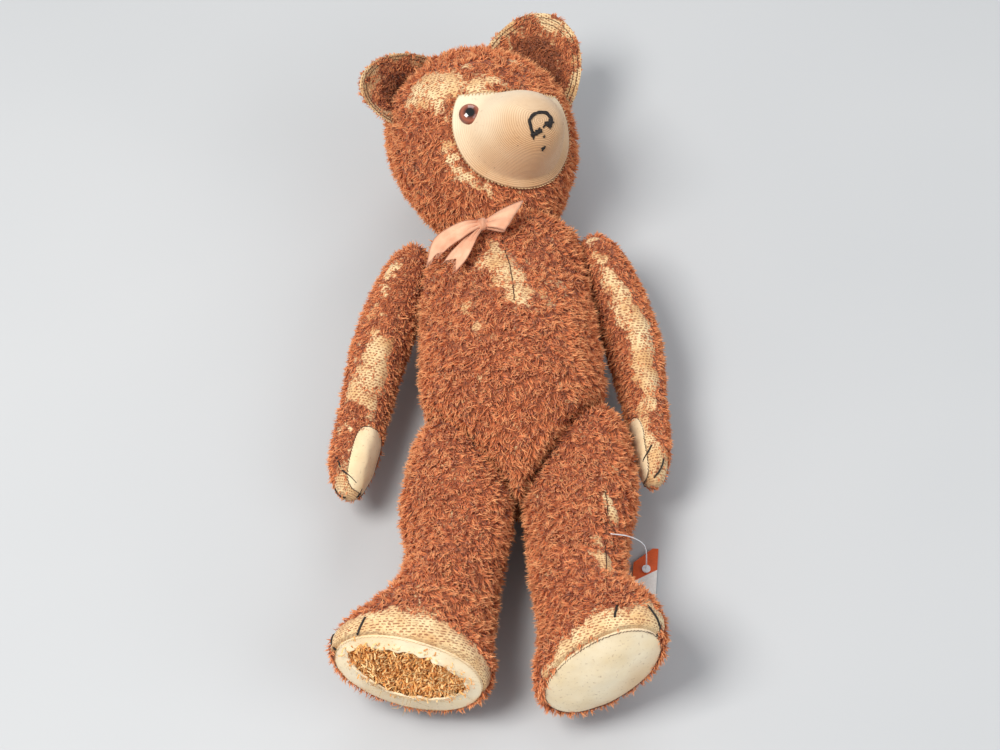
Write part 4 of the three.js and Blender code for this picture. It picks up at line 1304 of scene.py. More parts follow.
def makeEar(side, own):
    mine = own[side]
    around, toRim = 96, 30  # points in a ring, and rings from the middle of each face to the rim
    phi = np.linspace(0, math.pi, 2 * toRim + 1)
    angle = np.arange(around) / around * 2 * math.pi
    radial = np.sin(phi).clip(0) ** 0.85
    x = radial[:, None] * np.cos(angle)
    y = radial[:, None] * np.sin(angle)
    dish = mine["cup"] * (x**2 + 0.6 * np.maximum(y, 0) ** 2 - 0.3)
    z = np.broadcast_to((np.cos(phi) * own["thick"])[:, None], x.shape) + dish
    across = Vector(mine["across"]).normalized()
    front = across.cross(Vector(mine["out"])).normalized()
    across, facing = (across, front) if side > 0 else (-across, -front)
    out = facing.cross(across)
    root = headPlace @ Matrix.Translation((mine["at"][0], 80 + mine["at"][1], mine["at"][2]))
    place = root @ Matrix((across, out, facing)).transposed().to_4x4()
    rings = np.stack([x * mine["wide"], y * mine["tall"], z], axis=2)
    flatPoints, faces, cloth = ringSheet(rings)
    reach = np.hypot(flatPoints[:, 0] / mine["wide"], flatPoints[:, 1] / mine["tall"])
    frontCount = 1 + (toRim - 1) * around
    inFront = np.repeat([True, False], [frontCount, len(flatPoints) - frontCount])
    points = turned(place, flatPoints)
    faces, cloth = facingOut(points, faces, cloth)
    cloth = [tuple(flatPoints[i][:2]) for face in faces for i in face]  # the weave runs flat across an ear
    normals = normalsOf(points, faces)
    points = lumpy(points, normals, 0.5, 14, side * 3)
    ragged = noiseOf(points, 9, side + 5) * 0.22
    worn = np.where(inFront, (reach - 0.66) * 2.3, (reach - 0.9) * 7) + ragged * 4.0
    if side < 0:
        worn = worn + np.where(inFront, 0.2, 0.0) + noiseOf(points, 12, 8) * 0.9 * (reach > 0.5)
    worn = np.clip(worn, 0, 0.85)
    dusk = inFront & (reach < (0.64 if side > 0 else 0.5))
    name = ("left" if side > 0 else "right") + "Ear"
    outward = np.array(headPlace.to_3x3() @ out)
    nap = napOf(points, normals, outward, 1.2, side + 2)
    made = addPiece(
        name + "Skin", points, faces, "backing", "head", "mohair", cloth, worn=worn, nap=nap,
        bare=dusk.astype(float)
    )
    growPile(made, "head", own["pile"], 31 + side)
    made.data.attributes["bare"].data.foreach_set("value", (~dusk).astype(np.float32))
    growPile(made, "head", own["inner"], 41 + side, "innerEar")
    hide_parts(("left" if side > 0 else "right") + "_ear")
    tree = lookup(points, faces)
    sweep = np.linspace(math.radians(-12), math.radians(192), 90)
    rows, ups = [], []
    for share in (0.86, 0.93):
        ring = np.stack([np.cos(sweep) * mine["wide"] * share, np.sin(sweep) * mine["tall"] * share], axis=1)
        height = own["thick"] * 0.5 + mine["cup"] * (
            (ring[:, 0] / mine["wide"]) ** 2 + 0.6 * np.maximum(ring[:, 1] / mine["tall"], 0) ** 2 - 0.3
        )
        path, up = laidOn(tree, turned(place, np.column_stack([ring, height])), 0.1)
        rows.append(path)
        ups.append(up)
    sewRow(
        name + "Stitches", rows, ups, "head",
        {"pitch": 2.4, "long": 1.9, "thick": 0.5, "slant": 0.15, "uneven": 0.3}, "brownThread"
    )


for earSide in (1, -1):
    makeEar(earSide, ear)
print("ears made")

# arms
arm = {
    "bow": {1: 4, -1: 2}, "turn": {1: 0.3, -1: 0.6}, "plump": {1: 0, -1: 3},
    "worn": {
        1: [
            (62, 96, 72, 6, 0.75), (57, 92, 60, 6, 0.5), (68, 74, 75, 7, 0.6), (73, 60, 73, 7, 0.7),
            (79, 48, 71, 8, 0.85), (84, 36, 69, 9, 0.95), (90, 26, 67, 9, 1.0), (92, 14, 64, 9, 0.95),
            (94, 3, 62, 8, 0.8), (90, -8, 62, 7, 0.75), (93, -20, 59, 8, 0.8), (98, -14, 55, 6, 0.5),
            (88, -38, 57, 6, 0.75), (96, -34, 56, 5, 0.6), (87, -50, 57, 6, 0.8), (97, -50, 53, 5, 0.5),
            (89, -64, 55, 7, 0.85), (90, -76, 53, 9, 1.1), (95, -88, 46, 13, 1.2),
        ],
        -1: [
            (-79, 82, 75, 6, 0.85), (-84, 75, 74, 5, 0.8), (-88, 66, 72, 5, 0.7), (-92, 54, 69, 4, 0.6),
            (-90, 20, 66, 9, 1.0), (-96, 12, 64, 9, 1.0), (-93, 0, 63, 9, 0.95), (-102, -4, 60, 8, 0.9),
            (-110, -12, 56, 8, 1.0), (-101, -18, 58, 6, 0.6), (-97, -28, 57, 7, 0.85),
            (-97, -42, 54, 6, 0.9), (-119, -39, 50, 6, 0.7), (-101, -54, 55, 6, 0.9),
            (-105, -64, 54, 7, 1.0), (-112, -75, 51, 10, 1.15), (-116, -88, 44, 13, 1.2),
            (-84, 40, 68, 5, 0.4),
        ],
    },
    "pile": {
        "density": 80, "length": 4.4, "width": 0.8, "lean": 1.2, "matting": 1.8, "lock": 3.2, "gather": 0.7,
        "scatter": 0.3
    },
    "most": 0.76,
    "pad": {"top": -120, "tip": -168, "half": 15},
    "claws": {
        1: [[(92, -70, 58), (88, -75, 55), (83, -80, 51)], [(99, -78, 52), (96, -85, 49), (92, -90, 46)]],
        -1: [
            [(-122, -59, 50), (-121, -64, 51), (-120, -69, 51)],
            [(-119, -71, 51), (-114, -77, 51), (-109, -82, 49)],
            [(-127, -76, 42), (-126, -85, 42), (-120, -93, 42)],
            [(-102, -84, 46), (-103, -90, 44), (-107, -94, 42)],
        ],
    },
}


def armForm(side, own, around, along):
    bow, turn, plump = own["bow"][side], side * own["turn"][side], own["plump"][side]
    stations = [
        (34, side * 12, 0, 17, 22, 0), (12, side * 13.5, 0, 19, 25, 0),
        (-24, side * (19 + 0.5 * bow), 0, 21.5, 25, 0),
        (-64, side * (21 + bow), 1, 21, 23, 0.15 * turn),
        (-108, side * (21 + bow), 3, 16 + plump * 0.5, 20, turn),
        (-146, side * (21 + 0.6 * bow), 8, 13.2 + plump, 18 + plump * 0.4, turn),
        (-173, side * 20, 11, 15 + plump * 0.6, 19, turn),
    ]
    form = turned(armPlace(side), stuffedForm(stations, around, along).reshape(-1, 3))
    return form.reshape(along + 1, around, 3), turn


def sewnPatch(
    name, tree, line, finish, body, node, slot, rim, lift=0.8, rings=26, around=96, grime=None
):
    # a felt patch laid on a skin: line(share, angle) gives an origin inside and a direction out to each point
    grid = np.empty((rings + 1, around, 3))
    normals = np.empty_like(grid)
    for i in range(rings + 1):
        for j in range(around):
            centre, direction = line(i / rings, j / around * 2 * math.pi)
            grid[i, j], normals[i, j] = castIn(tree, centre, direction)
    shape = grid + normals * lift
    edge = shape[-1] - normals[-1] * (lift + 0.6) + (shape[-1] - shape[-2]) * 0.35
    shape = np.concatenate([shape, edge[None]])
    points, faces, cloth = ringSheet(shape, True, False)
    faces, cloth = facingOut(points, faces, cloth, normals.reshape(-1, 3).mean(axis=0))
    up = normalsOf(points, faces)
    points = points + up * (noiseOf(points, 11, 2.0) * 0.35)[:, None]
    marks = np.zeros(len(points)) if grime is None else grime(points)
    made = addPiece(name, points, faces, finish, body, slot, cloth, grime=marks)
    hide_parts(node)
    ring = np.vstack([grid[-1], grid[-1][:1]]) + np.vstack([normals[-1], normals[-1][:1]]) * 0.5
    sewRow(name + "Seam", [ring], [np.vstack([normals[-1], normals[-1][:1]])], body, rim, "brownThread")
    return made


def sewClaws(name, tree, lines, body, radius=0.62):
    parts = []
    for line in lines:
        path, _ = laidOn(tree, smoothPath(line, 14), 0.45)
        ends = path.copy()
        ends[0], ends[-1] = laidOn(tree, path[[0, -1]], -1.0)[0]
        parts.append(threadTube(ends, radius))
    if parts:
        addPiece(name, *gathered(parts)[:2], "blackThread", body, "thread", gathered(parts)[2])


def makeArm(side, own):
    name = "left" if side > 0 else "right"
    body = name + "_arm"
    rings, turn = armForm(side, own, 80, 76)
    place = armPlace(side)
    axis = shoulderAxis(side)
    pad = own["pad"]
    middleY, halfY = (pad["top"] + pad["tip"]) / 2, (pad["top"] - pad["tip"]) / 2
    centreX = side * (20 + 0.6 * own["bow"][side])
    # the pad looks along this direction, in the arm's own frame
    look = (Matrix.Rotation(-side * math.pi / 2 + turn, 4, "Y") @ Vector((0, 0, 1))).normalized()
    sideways = look.cross(Vector((0, 1, 0)))

    def padShare(points):
        local = turned(place.inverted(), points) - (centreX, 0, 8)
        v = (local[:, 1] - middleY) / halfY
        u = (local @ np.array(sideways)) / pad["half"]
        share = (np.abs(u) ** 2.6 + np.abs(v) ** 3.4) ** 0.38
        return np.where(local @ np.array(look) > 5, share, 3)

    def bare(points):
        return np.clip(0.5 + (0.97 - padShare(points)) * 8, 0, 1)

    skin, tree = makeSkin(
        name + "ArmSkin", rings, body, own["worn"][side], [flatAt(jointPoint("shoulder", side), -axis)],
        body + "_cover", own, 3 + side, np.array(place.to_3x3() @ Vector((0, -1, 0))), bare, speckle=1.35,
    )
    growPile(skin, body, own["pile"], 51 + side)

    def line(share, angle):
        c, s = math.cos(angle), math.sin(angle)
        stretch = 1 / (abs(c) ** 2.6 + abs(s) ** 3.4) ** 0.38
        u, v = c * stretch * share, s * stretch * share
        centre = Vector((centreX, middleY + v * halfY, 8)) + sideways * (u * pad["half"] * 0.35)
        direction = look * (1.25 - 0.25 * abs(u)) + sideways * u * 0.95
        return place @ centre, place.to_3x3() @ direction

    made = sewnPatch(
        name + "PawPad", tree, line, "pawFelt", body, name + "_paw_pad", "felt",
        {"pitch": 2.2, "long": 1.9, "thick": 0.6, "slant": 0.25, "uneven": 0.35},
    )
    sewClaws(name + "PawClaws", tree, own["claws"][side], body)


for armSide in (1, -1):
    makeArm(armSide, arm)
print("arms made")

# legs and soles
leg = {
    "tilt": 13, "dome": 7,
    1: {
        "turn": 46, "long": 48, "wide": 35, "out": 13, "lean": -6.5, "instep": 0, "ahead": 26.5,
        "drop": 178, "roll": 0, "edge": 3.5,
    },
    -1: {
        "turn": 72, "long": 52.5, "wide": 37, "out": 8, "lean": 3.5, "instep": 4, "ahead": 28,
        "drop": 166, "roll": 7, "edge": 2.5,
    },
    "rub": {
        1: {"deep": 5, "front": 0.5, "from": 10, "by": 1.0},
        -1: {"deep": 8, "front": 0, "from": -2, "by": 1.15}
    },
    "worn": {
        1: [
            (58, -123, 74, 4.5, 1.1), (63, -132, 70, 4.5, 1.1), (60, -128, 72, 3, 0.9),
            (52, -169, 78, 5.5, 1.2), (53, -177, 81, 5, 1.2), (48, -153, 78, 5, 0.65),
            (57, -152, 73, 4, 0.5), (52, -160, 75, 4, 0.6), (42, -164, 80, 3, 0.5),
            (40, -224, 104, 7, 0.8), (50, -224, 110, 8, 1.0), (62, -220, 111, 7, 0.7),
            (72, -222, 106, 8, 1.1), (80, -222, 97, 8, 1.1), (85, -220, 84, 8, 1.0),
            (30, -232, 95, 6, 0.75), (22, -236, 86, 5, 0.6), (56, -210, 113, 5, 0.6),
            (66, -206, 108, 6, 0.6), (80, -208, 96, 6, 0.8),
        ],
        -1: [
            (-122, -214, 74, 12, 1.15), (-112, -216, 88, 10, 1.1), (-104, -214, 94, 9, 1.0),
            (-98, -210, 96, 7, 0.8), (-88, -213, 93, 8, 0.8), (-76, -214, 92, 7, 0.75),
            (-66, -218, 91, 8, 0.95), (-56, -218, 88, 9, 1.0), (-48, -226, 82, 8, 1.05),
            (-40, -232, 75, 8, 1.0), (-33, -240, 63, 8, 0.95), (-30, -244, 52, 6, 0.7),
            (-70, -204, 88, 5, 0.4), (-84, -204, 90, 5, 0.45),
        ],
    },
    "pile": {
        "density": 78, "length": 5.6, "width": 0.88, "lean": 1.0, "matting": 1.9, "lock": 4.6,
        "gather": 0.95, "scatter": 0.22
    },
    "claws": {
        1: [
            [(57, -212, 116), (55, -221, 114), (54, -228, 108)],
            [(79, -213, 104), (80, -222, 98), (79, -230, 88), (77, -233, 80)],
        ],
        -1: [
            [(-106, -206, 96), (-109, -215, 94), (-111, -224, 89)],
            [(-124, -208, 72), (-126, -218, 72), (-122, -226, 68), (-120, -229, 62)],
        ],
    },
    "seam": [(58, -118, 78), (58, -135, 76), (56, -150, 76), (54, -168, 80), (52, -184, 86), (50, -205, 104)],
}
tear = {"at": (5, 5.5), "long": 40, "tall": 20.5, "leaf": 1.7, "depth": 10, "rough": 1.6}
woolSetup = {"density": 130, "length": 13, "width": 0.85, "rise": 0.25}


def soleOf(side, own):
    mine = own[side]
    turn, lean = side * math.radians(mine["turn"]), math.radians(mine["lean"])
    tilt = math.radians(own["tilt"])
    toe = np.array([math.sin(turn), 0, math.cos(turn)])
    aside = side * (mine["out"] + mine["drop"] * math.tan(lean))
    point = np.array([aside, -mine["drop"], 0]) + toe * mine["ahead"]
    level = Vector((0, -math.cos(tilt), 0)) + Vector(toe) * math.sin(tilt)
    normal = np.array(Matrix.Rotation(-side * math.radians(mine["roll"]), 3, Vector(toe)) @ level)
    lengthwise = unit(toe - normal * (toe @ normal))
    across = np.cross(normal, toe)  # towards the bear's back on the right foot
    if across[2] < 0:
        across = -across
    return {
        "point": point + jointPoint("hip", side), "normal": normal, "toe": toe, "lengthwise": lengthwise,
        "across": unit(across)
    }


def legForm(side, own, around, along):
    mine = own[side]
    turn, lean = side * math.radians(mine["turn"]), math.radians(mine["lean"])
    plan = [
        (33, 1, 0, 36, 36, 0), (10, 1, 0, 31, 33, 0), (-34, 1, 0, 38.5, 37, 0), (-76, 0, 1, 34.5, 34, 0.25),
        (-108, 0, 6 + mine["instep"], 31.5, 35 + mine["instep"], 0.7),
        (-140, 0, mine["ahead"] - 4 + mine["instep"], mine["wide"], mine["long"] - 3 + mine["instep"], 1),
        (-mine["drop"] - 6, 0, mine["ahead"], mine["wide"], mine["long"], 1),
        (-mine["drop"] - 34, 0, mine["ahead"] + 1, mine["wide"] + 4, mine["long"] + 4, 1),
    ]
    stations = [
        (
            y, side * (mine["out"] + out - y * math.tan(lean)) + forward * math.sin(turn * share),
            forward * math.cos(turn * share), wide, long, turn * share,
        )
        for y, out, forward, wide, long, share in plan
    ]
    return stuffedForm(stations, around, along) + jointPoint("hip", side)


def domeHeight(own, mine, l, c):
    return own["dome"] * np.maximum(1 - (l / mine["long"]) ** 2 - (c / mine["wide"]) ** 2, 0)


def tearReach(angle, rough=True):
    c, s, leaf = abs(math.cos(angle)), abs(math.sin(angle)), tear["leaf"]
    reach = 1 / ((c / tear["long"]) ** leaf + (s / tear["tall"]) ** leaf) ** (1 / leaf)
    if rough:
        reach += tear["rough"] * noise.noise(Vector((math.cos(angle) * 5, math.sin(angle) * 5, 0.4)))
    return reach


def makeLeg(side, own):
    name = "left" if side > 0 else "right"
    body = name + "_leg"
    mine, sole = own[side], soleOf(side, own)
    rings = legForm(side, own, 96, 110)
    formPoints, formFaces, _ = ringSheet(rings)
    openTree = lookup(formPoints, formFaces)
    swell = {"height": own["dome"], "toe": sole["toe"], "long": mine["long"], "wide": mine["wide"]}
    presses = [
        flatAt(jointPoint("hip", side), -hipAxis(side)),
        {"point": sole["point"], "normal": sole["normal"], "back": 1.0, "swell": swell},
    ]

    def flatPlace(points):
        away = points - sole["point"]
        return away @ sole["lengthwise"], away @ sole["across"], away @ sole["normal"]

    def reachAt(angle, at=(0, 0)):
        start = sole["point"] + sole["lengthwise"] * at[0] + sole["across"] * at[1]
        direction = sole["lengthwise"] * math.cos(angle) + sole["across"] * math.sin(angle)
        hit, _, _, _ = openTree.ray_cast(Vector(start), Vector(direction))
        return float(np.linalg.norm(np.array(hit) - start)) if hit is not None else mine["wide"]

    radii = np.array([reachAt(a) for a in np.arange(180) / 180 * 2 * math.pi])

    def padShare(l, c):
        angle = np.mod(np.arctan2(c, l), 2 * math.pi)
        edge = np.interp(angle, np.arange(181) / 180 * 2 * math.pi, np.append(radii, radii[0])) - mine["edge"]
        return np.hypot(l, c) / edge

    def bare(points):
        l, c, h = flatPlace(points)
        return np.where(h > -6, np.clip(0.5 + (0.965 - padShare(l, c)) * 12, 0, 1), 0)

    def inTear(points):
        l, c, h = flatPlace(points)
        u, v = (l - tear["at"][0]) / tear["long"], (c - tear["at"][1]) / tear["tall"]
        return (h > -6) & (np.abs(u / 1.06) ** tear["leaf"] + np.abs(v / 1.06) ** tear["leaf"] < 1)

    def rub(points):
        # the cover is rubbed down to its backing round the front of the sole and over the toe
        l, c, h = flatPlace(points)
        mark = own["rub"][side]
        return mark["by"] * np.exp(-(((h + 3) / mark["deep"]) ** 2)) * np.clip(
            (c + l * mark["front"] - mark["from"]) / 14, 0, 1
        )

    skin, tree = makeSkin(
        name + "LegSkin", rings, body, own["worn"][side], presses, body + "_cover", own, 6 + side,
        (0, -1, 0), bare,
        inTear if side < 0 else None, rub=rub,
    )
    growPile(skin, body, own["pile"], 61 + side)
    makeSole(side, own, mine, sole, body, name, padShare, reachAt)
    sewClaws(name + "FootClaws", tree, own["claws"][side], body, 0.75)
    if side > 0:
        path, ups = laidOn(tree, smoothPath(own["seam"], 40), 0.1)
        sewRow(
            "leftLegSeam", [path], [ups], body,
            {"pitch": 2.6, "long": 2.2, "thick": 0.7, "slant": 0.1, "uneven": 0.3}, "brownThread"
        )


def makeSole(side, own, mine, sole, body, name, padShare, reachAt):
    around, rings = 144, 34
    torn = side < 0
    start = tear["at"] if torn else (0, 0)
    grid = np.empty((rings + 1, around, 3))
    for j in range(around):
        angle = j / around * 2 * math.pi
        outer = reachAt(angle, start) - 2.2 - mine["edge"]
        inner = min(tearReach(angle), outer - 3.5) if torn else 0
        for i in range(rings + 1):
            reach = inner + (outer - inner) * (i / rings)
            l, c = start[0] + math.cos(angle) * reach, start[1] + math.sin(angle) * reach
            high = domeHeight(own, mine, l, c) + 0.35
            lip = math.exp(-((reach - inner) / 3.2) ** 2) if torn else 0
            sag = max(0, -math.sin(angle)) * lip
            curl = noise.noise(Vector((math.cos(angle) * 4, math.sin(angle) * 4, 2.0)))
            high += lip * (0.8 + 1.6 * curl) + sag * 1.4
            grid[i, j] = sole["point"] + sole["lengthwise"] * l + sole["across"] * c + sole["normal"] * high
    edge = grid[-1] - sole["normal"] * 2.0 + unit(grid[-1] - grid[-2]) * 0.7
    rows = [grid, edge[None]]
    if torn:
        rows = [(grid[0] - sole["normal"] * 1.6 + unit(grid[0] - grid[1]) * 0.4)[None]] + rows
    points, faces, cloth = ringSheet(np.concatenate(rows), not torn, False)
    faces, cloth = facingOut(points, faces, cloth, sole["normal"])
    up = normalsOf(points, faces)
    points = points + up * (noiseOf(points, 15, 4.0) * 0.5 + noiseOf(points, 5, 5.0) * 0.12)[:, None]
    away = points - sole["point"]
    l, c = away @ sole["lengthwise"], away @ sole["across"]
    # darker towards the sole's edge on the minus-across side and close to its rim
    grime = np.clip((-c - 8) / 26 + noiseOf(points, 14, 6) * 0.35, 0, 1) * (0.75 if not torn else 0.35)
    grime = np.maximum(grime, np.clip((padShare(l, c) - 0.9) * 4, 0, 0.5))
    made = addPiece(name + "SolePad", points, faces, "soleFelt", body, "felt", cloth, grime=grime)
    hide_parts(name + "_sole_pad")
    cut = (2 * mine["long"] * mm, 2 * mine["wide"] * mm)
    cut[0] * cut[1] * (0.5 if torn else 0.74)
    ring = np.vstack([grid[-1], grid[-1][:1]]) - sole["normal"] * 0.2
    outward = unit(ring - sole["point"]) * 0.8 + sole["normal"]
    thread = {"pitch": 2.3, "long": 1.7, "thick": 0.5, "slant": 0.3, "uneven": 0.35}
    sewRow(name + "SoleSeam", [ring], [unit(outward)], body, thread, "creamThread" if torn else "brownThread")
    if torn:
        makeWoodWool(sole, own, mine, body, grid)


def makeWoodWool(sole, own, mine, body, grid):
    around, rings = 72, 26
    basin = np.empty((rings + 1, around, 3))
    for j in range(around):
        angle = j / around * 2 * math.pi
        for i in range(rings + 1):
            share = i / rings
            reach = tearReach(angle, False) * 1.04 * share
            l, c = tear["at"][0] + math.cos(angle) * reach, tear["at"][1] + math.sin(angle) * reach
            lump = 2.2 * noise.noise(Vector((l / 9, c / 9, 1.0)))
            sunk = tear["depth"] * 0.45 * (1 - share**2)
            high = domeHeight(own, mine, l, c) - 3.0 - sunk + lump * (1 - share**3)
            basin[i, j] = sole["point"] + sole["lengthwise"] * l + sole["across"] * c + sole["normal"] * high
    points, faces, cloth = ringSheet(basin, True, False)
    faces, cloth = facingOut(points, faces, cloth, sole["normal"])
    made = addPiece(
        "packedWoolBed", points, faces, "woodWool", body, "wood_wool", cloth, shade=np.full(len(points), 0.42)
    )
    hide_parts("right_leg_stuffing")
    mesh = grown(
        made.data, shavingTree, Shaving=shavingPart, Finish=finishes["woodWool"],
        Density=woolSetup["density"] * 1e4,
        Length=woolSetup["length"] * mm, Width=woolSetup["width"] * mm, Rise=woolSetup["rise"], Seed=3,
    )
    while mesh.uv_layers:
        mesh.uv_layers.remove(mesh.uv_layers[0])
    atlasOf(mesh, 18, [(0.1 + 0.8 * (k % 2), 0.08 + 0.84 * (k // 2) / 8) for k in range(18)])
    heap = bpy.data.objects.new("woolShavings", mesh)
    scene.collection.objects.link(heap)
    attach(heap, body)
    # threads that the split has pulled out of the felt
    rng = np.random.default_rng(8)
    parts = []
    for n in range(58):
        angle = math.radians(rng.uniform(200, 330) if n < 44 else rng.uniform(150, 200))
        j = int(angle / (2 * math.pi) * grid.shape[1]) % grid.shape[1]
        start = grid[1, j]
        inward = unit(grid[0, j] - grid[3, j])
        drift = sole["lengthwise"] * rng.normal(0, 0.8) + sole["normal"] * rng.uniform(0.05, 0.5)
        reach = rng.uniform(3, 9)
        sideways = 1 if rng.random() < 0.7 else -0.9
        path = smoothPath(
            [
                start, start + inward * sideways * reach * 0.4 + sole["normal"] * 0.8,
                start + (inward * sideways + drift) * reach
            ], 9
        )
        parts.append(threadTube(path, np.linspace(0.2, 0.1, 9), 4))
    for at, reach in ((248, 13), (254, 16), (262, 11), (300, 9)):
        j = int(at / 360 * grid.shape[1])
        start = grid[2, j]
        hang = -sole["across"] * reach + sole["normal"] * 3.0
        path = smoothPath(
            [
                start, start + hang * 0.5 + sole["normal"] * 2.5,
                start + hang + sole["lengthwise"] * rng.normal(0, 3)
            ], 14
        )
        parts.append(threadTube(path, np.linspace(0.24, 0.14, 14), 4))
    points, faces, cloth = gathered(parts)
    addPiece("frayedSoleThreads", points, faces, "creamThread", body, "felt", cloth)


for legSide in (1, -1):
    makeLeg(legSide, leg)
print("legs made")

# ribbon
ribbon = {
    "bandRadius": 31, "bandHalf": 2.8, "pleat": 1.5, "knot": (-13, 86, 110.5), "knotSize": (3.8, 4.6, 4.0),
    # each strip by its two edges, from the knot outwards
    "loop": (
        [
            (-13, 88, 111.5), (-5, 92.5, 115), (6, 97, 117), (15.5, 100.6, 117), (16.3, 100.8, 116),
            (15.4, 100, 114.6), (5, 95, 112.6), (-13, 87, 110)
        ],
        [
            (-13, 84, 111.5), (-9, 81, 115), (-4, 78.2, 117), (1.2, 75.6, 117.2), (1.8, 75.4, 116.2),
            (1, 75.8, 114.8), (-5, 79, 112.4), (-13, 84, 110)
        ],
    ),
    "outerTail": (
        [(-13, 88.5, 111.5), (-25, 87, 115.2), (-36, 83.3, 114.5), (-48, 76.5, 110), (-53.8, 62.1, 101)],
        [(-13.5, 84, 112.5), (-21.8, 76.6, 116), (-29, 71.5, 115.4), (-36, 67.4, 114), (-41.6, 63.7, 112)],
    ),
    "lowerTail": (
        [(-14, 85, 110.5), (-22, 78, 113), (-30, 70, 113), (-37, 63.5, 111), (-41.2, 58.6, 109)],
        [(-13.5, 83, 111.5), (-17, 74.5, 114.6), (-20.5, 66, 114.4), (-26, 56.5, 112), (-34, 48.8, 108.5)],
    ),
}


def satinStrip(edges, notch=0.0, seed=0, count=60, across=14):
    # a ribbon between its two edges, creased near the knot, with a swallow-tailed end if notched
    upper, lower = (smoothPath(e, count) for e in edges)
    share = np.linspace(-1, 1, across + 1)
    middle, half = (upper + lower) / 2, (lower - upper) / 2
    points = middle[:, None] + half[:, None] * share[None, :, None]
    along = unit(np.gradient(middle, axis=0))
    normal = unit(np.cross(along, half))
    width = np.linalg.norm(half, axis=1) * 2
    t = np.linspace(0, 1, count)
    near = np.exp(-((t / 0.25) ** 2)) + (0 if notch else 1) * np.exp(-(((1 - t) / 0.2) ** 2))
    fold = np.cos(share * 7.5 + seed)[None] * (near * 1.1 + 0.2)[:, None]
    points = points + normal[:, None] * fold[:, :, None]
    if notch:
        ease = np.clip((t - 0.6) / 0.4, 0, 1) ** 1.6
        points = points - along[:, None] * (notch * (1 - np.abs(share))[None] * ease[:, None])[:, :, None]
    faces, cloth = [], []
    n = across + 1
    step = np.linalg.norm(np.diff(middle, axis=0), axis=1).mean()
    for i in range(count - 1):
        for j in range(across):
            corners = [(i, j), (i + 1, j), (i + 1, j + 1), (i, j + 1)]
            faces.append([a * n + b for a, b in corners])
            cloth += [(share[b] * width[a] / 2, a * step) for a, b in corners]
    # darker along both edges and at the cut ends; painted shade in the troughs of the folds near the knot
    grime = np.broadcast_to((np.abs(share) > 0.9) * 0.8, (count, n)).copy()
    grime = np.maximum(grime, (near * 0.55)[:, None] * (np.cos(share * 7.5 + seed) < -0.3)[None])
    if notch:
        grime[-1:] = 0.6
    return points.reshape(-1, 3), faces, cloth, grime.ravel()


def thickened(points, faces, cloth, grime, thick):
    # a second side and a rim, so that the strip is closed
    normal = normalsOf(points, faces)
    edges = {}
    for f in faces:
        for a, b in zip(f, f[1:] + f[:1]):
            edges[(a, b)] = edges.get((a, b), 0) + 1
    rim = [(a, b) for a, b in edges if (b, a) not in edges]
    n = len(points)
    back, backCloth = flipFaces([[i + n for i in f] for f in faces], cloth)
    sides = [[b, a, a + n, b + n] for a, b in rim]
    allCloth = list(cloth) + list(backCloth) + [(0, 0)] * (4 * len(sides))
    both = np.concatenate([points + normal * thick / 2, points - normal * thick / 2])
    return both, faces + back + sides, allCloth, np.tile(grime, 2)


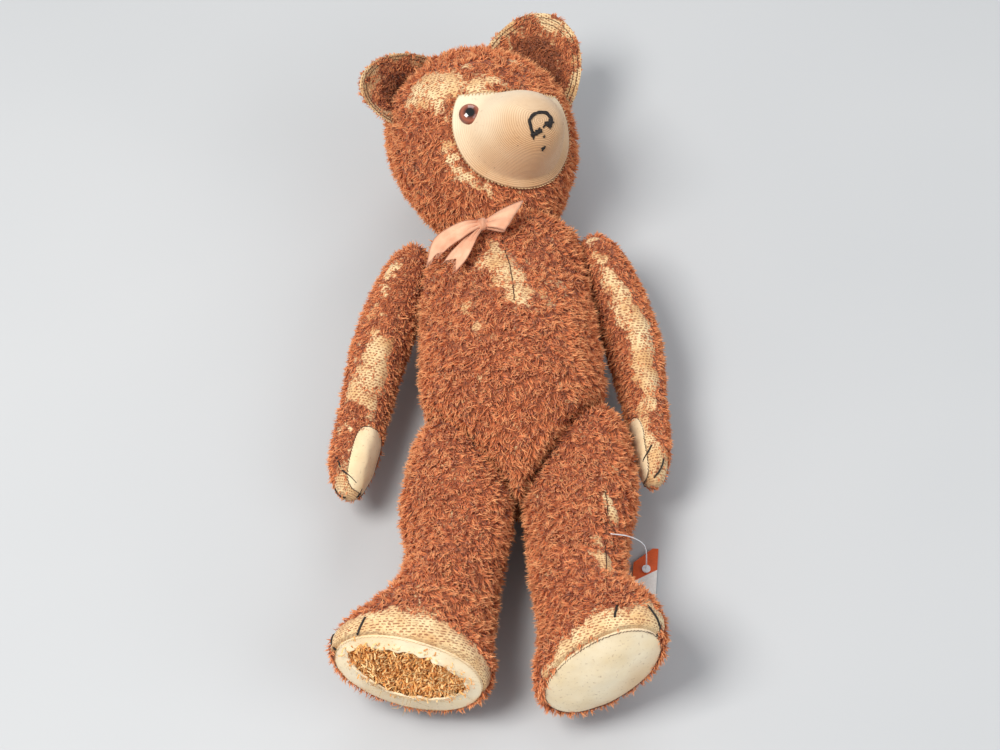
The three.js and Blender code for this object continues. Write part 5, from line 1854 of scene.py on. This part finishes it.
def makeRibbon(own):
    strips = [
        satinStrip(own["loop"], 0, 0.4, 90), satinStrip(own["outerTail"], 4, 1.3),
        satinStrip(own["lowerTail"], 7, 2.4),
    ]
    parts, marks = [], []
    for strip in strips:
        points, faces, cloth, grime = thickened(*strip, 0.35)
        parts.append((points, faces, cloth))
        marks.append(grime)
    # the knot: a short length wrapped round
    knot = np.array(own["knot"], float)
    phi = np.linspace(0, math.pi, 17)
    angle = np.arange(24) / 24 * 2 * math.pi
    bulge = 1 + 0.12 * np.sin(angle * 5)[None] * np.sin(phi)[:, None]
    rings = np.stack(
        [
            own["knotSize"][0] * np.sin(phi)[:, None] * np.cos(angle) * bulge,
            np.broadcast_to(own["knotSize"][1] * np.cos(phi)[:, None], (17, 24)),
            own["knotSize"][2] * np.sin(phi)[:, None] * np.sin(angle) * bulge,
        ],
        axis=2,
    )
    points, faces, cloth = ringSheet(rings + knot + (0, 0, 1.5))
    parts.append((points, *facingOut(points, faces, cloth)))
    # painted shade over the whole pinched knot
    marks.append(np.full(len(points), 0.3))
    # the band round the neck
    centre = jointPoint("neck")
    side = unit(np.cross(neckAxis, [0, 0, 1.0]))
    out = np.cross(side, neckAxis)
    turn = np.linspace(0, 2 * math.pi, 97)[:-1]

    def spoke(a):
        return side * math.cos(a) + out * math.sin(a)

    # the satin is pulled into folds
    pleats = [(own["bandHalf"] * (k / 6 - 1), own["pleat"] * (k % 2)) for k in range(13)]
    profile = pleats + [(h, r - 0.35) for h, r in pleats[::-1]]
    rings = np.array([
        [centre + spoke(a) * (own["bandRadius"] + r) + neckAxis * h for h, r in profile] for a in turn
    ])
    rings = np.concatenate([rings, rings[:1]])
    points, faces, cloth = ringSheet(rings, False, False)
    parts.append((points, *facingOut(points, faces, cloth)))
    marks.append(np.zeros(len(points)))
    points, faces, cloth = gathered(parts)
    made = addPiece(
        "neckRibbonBow", points, faces, "satin", "torso", "satin", cloth, grime=np.concatenate(marks)
    )
    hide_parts("neck_ribbon")
    # frayed ends
    rng = np.random.default_rng(12)
    hairs = []
    for strip in strips[1:]:
        grid = strip[0].reshape(-1, 15, 3)
        for _ in range(26):
            j = rng.uniform(0, 14)
            a = grid[-1, int(j)] * (1 - j % 1) + grid[-1, min(int(j) + 1, 14)] * (j % 1)
            way = unit(grid[-1, int(j)] - grid[-4, int(j)])
            path = [
                a - way, a + way * rng.uniform(0.6, 2.0),
                a + way * rng.uniform(2.0, 4.0) + rng.normal(0, 0.7, 3)
            ]
            hairs.append(threadTube(smoothPath(path, 6), 0.14, 4))
    points, faces, cloth = gathered(hairs)
    addPiece("ribbonFray", points, faces, "satin", "torso", "satin", cloth, grime=np.full(len(points), 0.4))


makeRibbon(ribbon)
print("ribbon made")

# what keeps its CAD shape
nodeFinish = {
    "disc": "hardboard", "washer": "steel", "pin": "steel", "stuffing": "stuffing", "tag_card": "card",
    "tag_tie": "nylon",
}
for nodeName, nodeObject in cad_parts.items():
    for ending, finishName in nodeFinish.items():
        if nodeName.endswith(ending) and not nodeObject.hide_render:
            for holder in nodeObject.material_slots:
                holder.material = finishes[finishName]

# floor
bpy.ops.mesh.primitive_plane_add(size=9, location=(0, 0, 0))
floor = bpy.context.object
floor.name = "floor"
floor.data.materials.append(finishes["floor"])

for spare in (strandPart, stitchPart, shavingPart):
    bpy.data.objects.remove(spare)
print("all made")
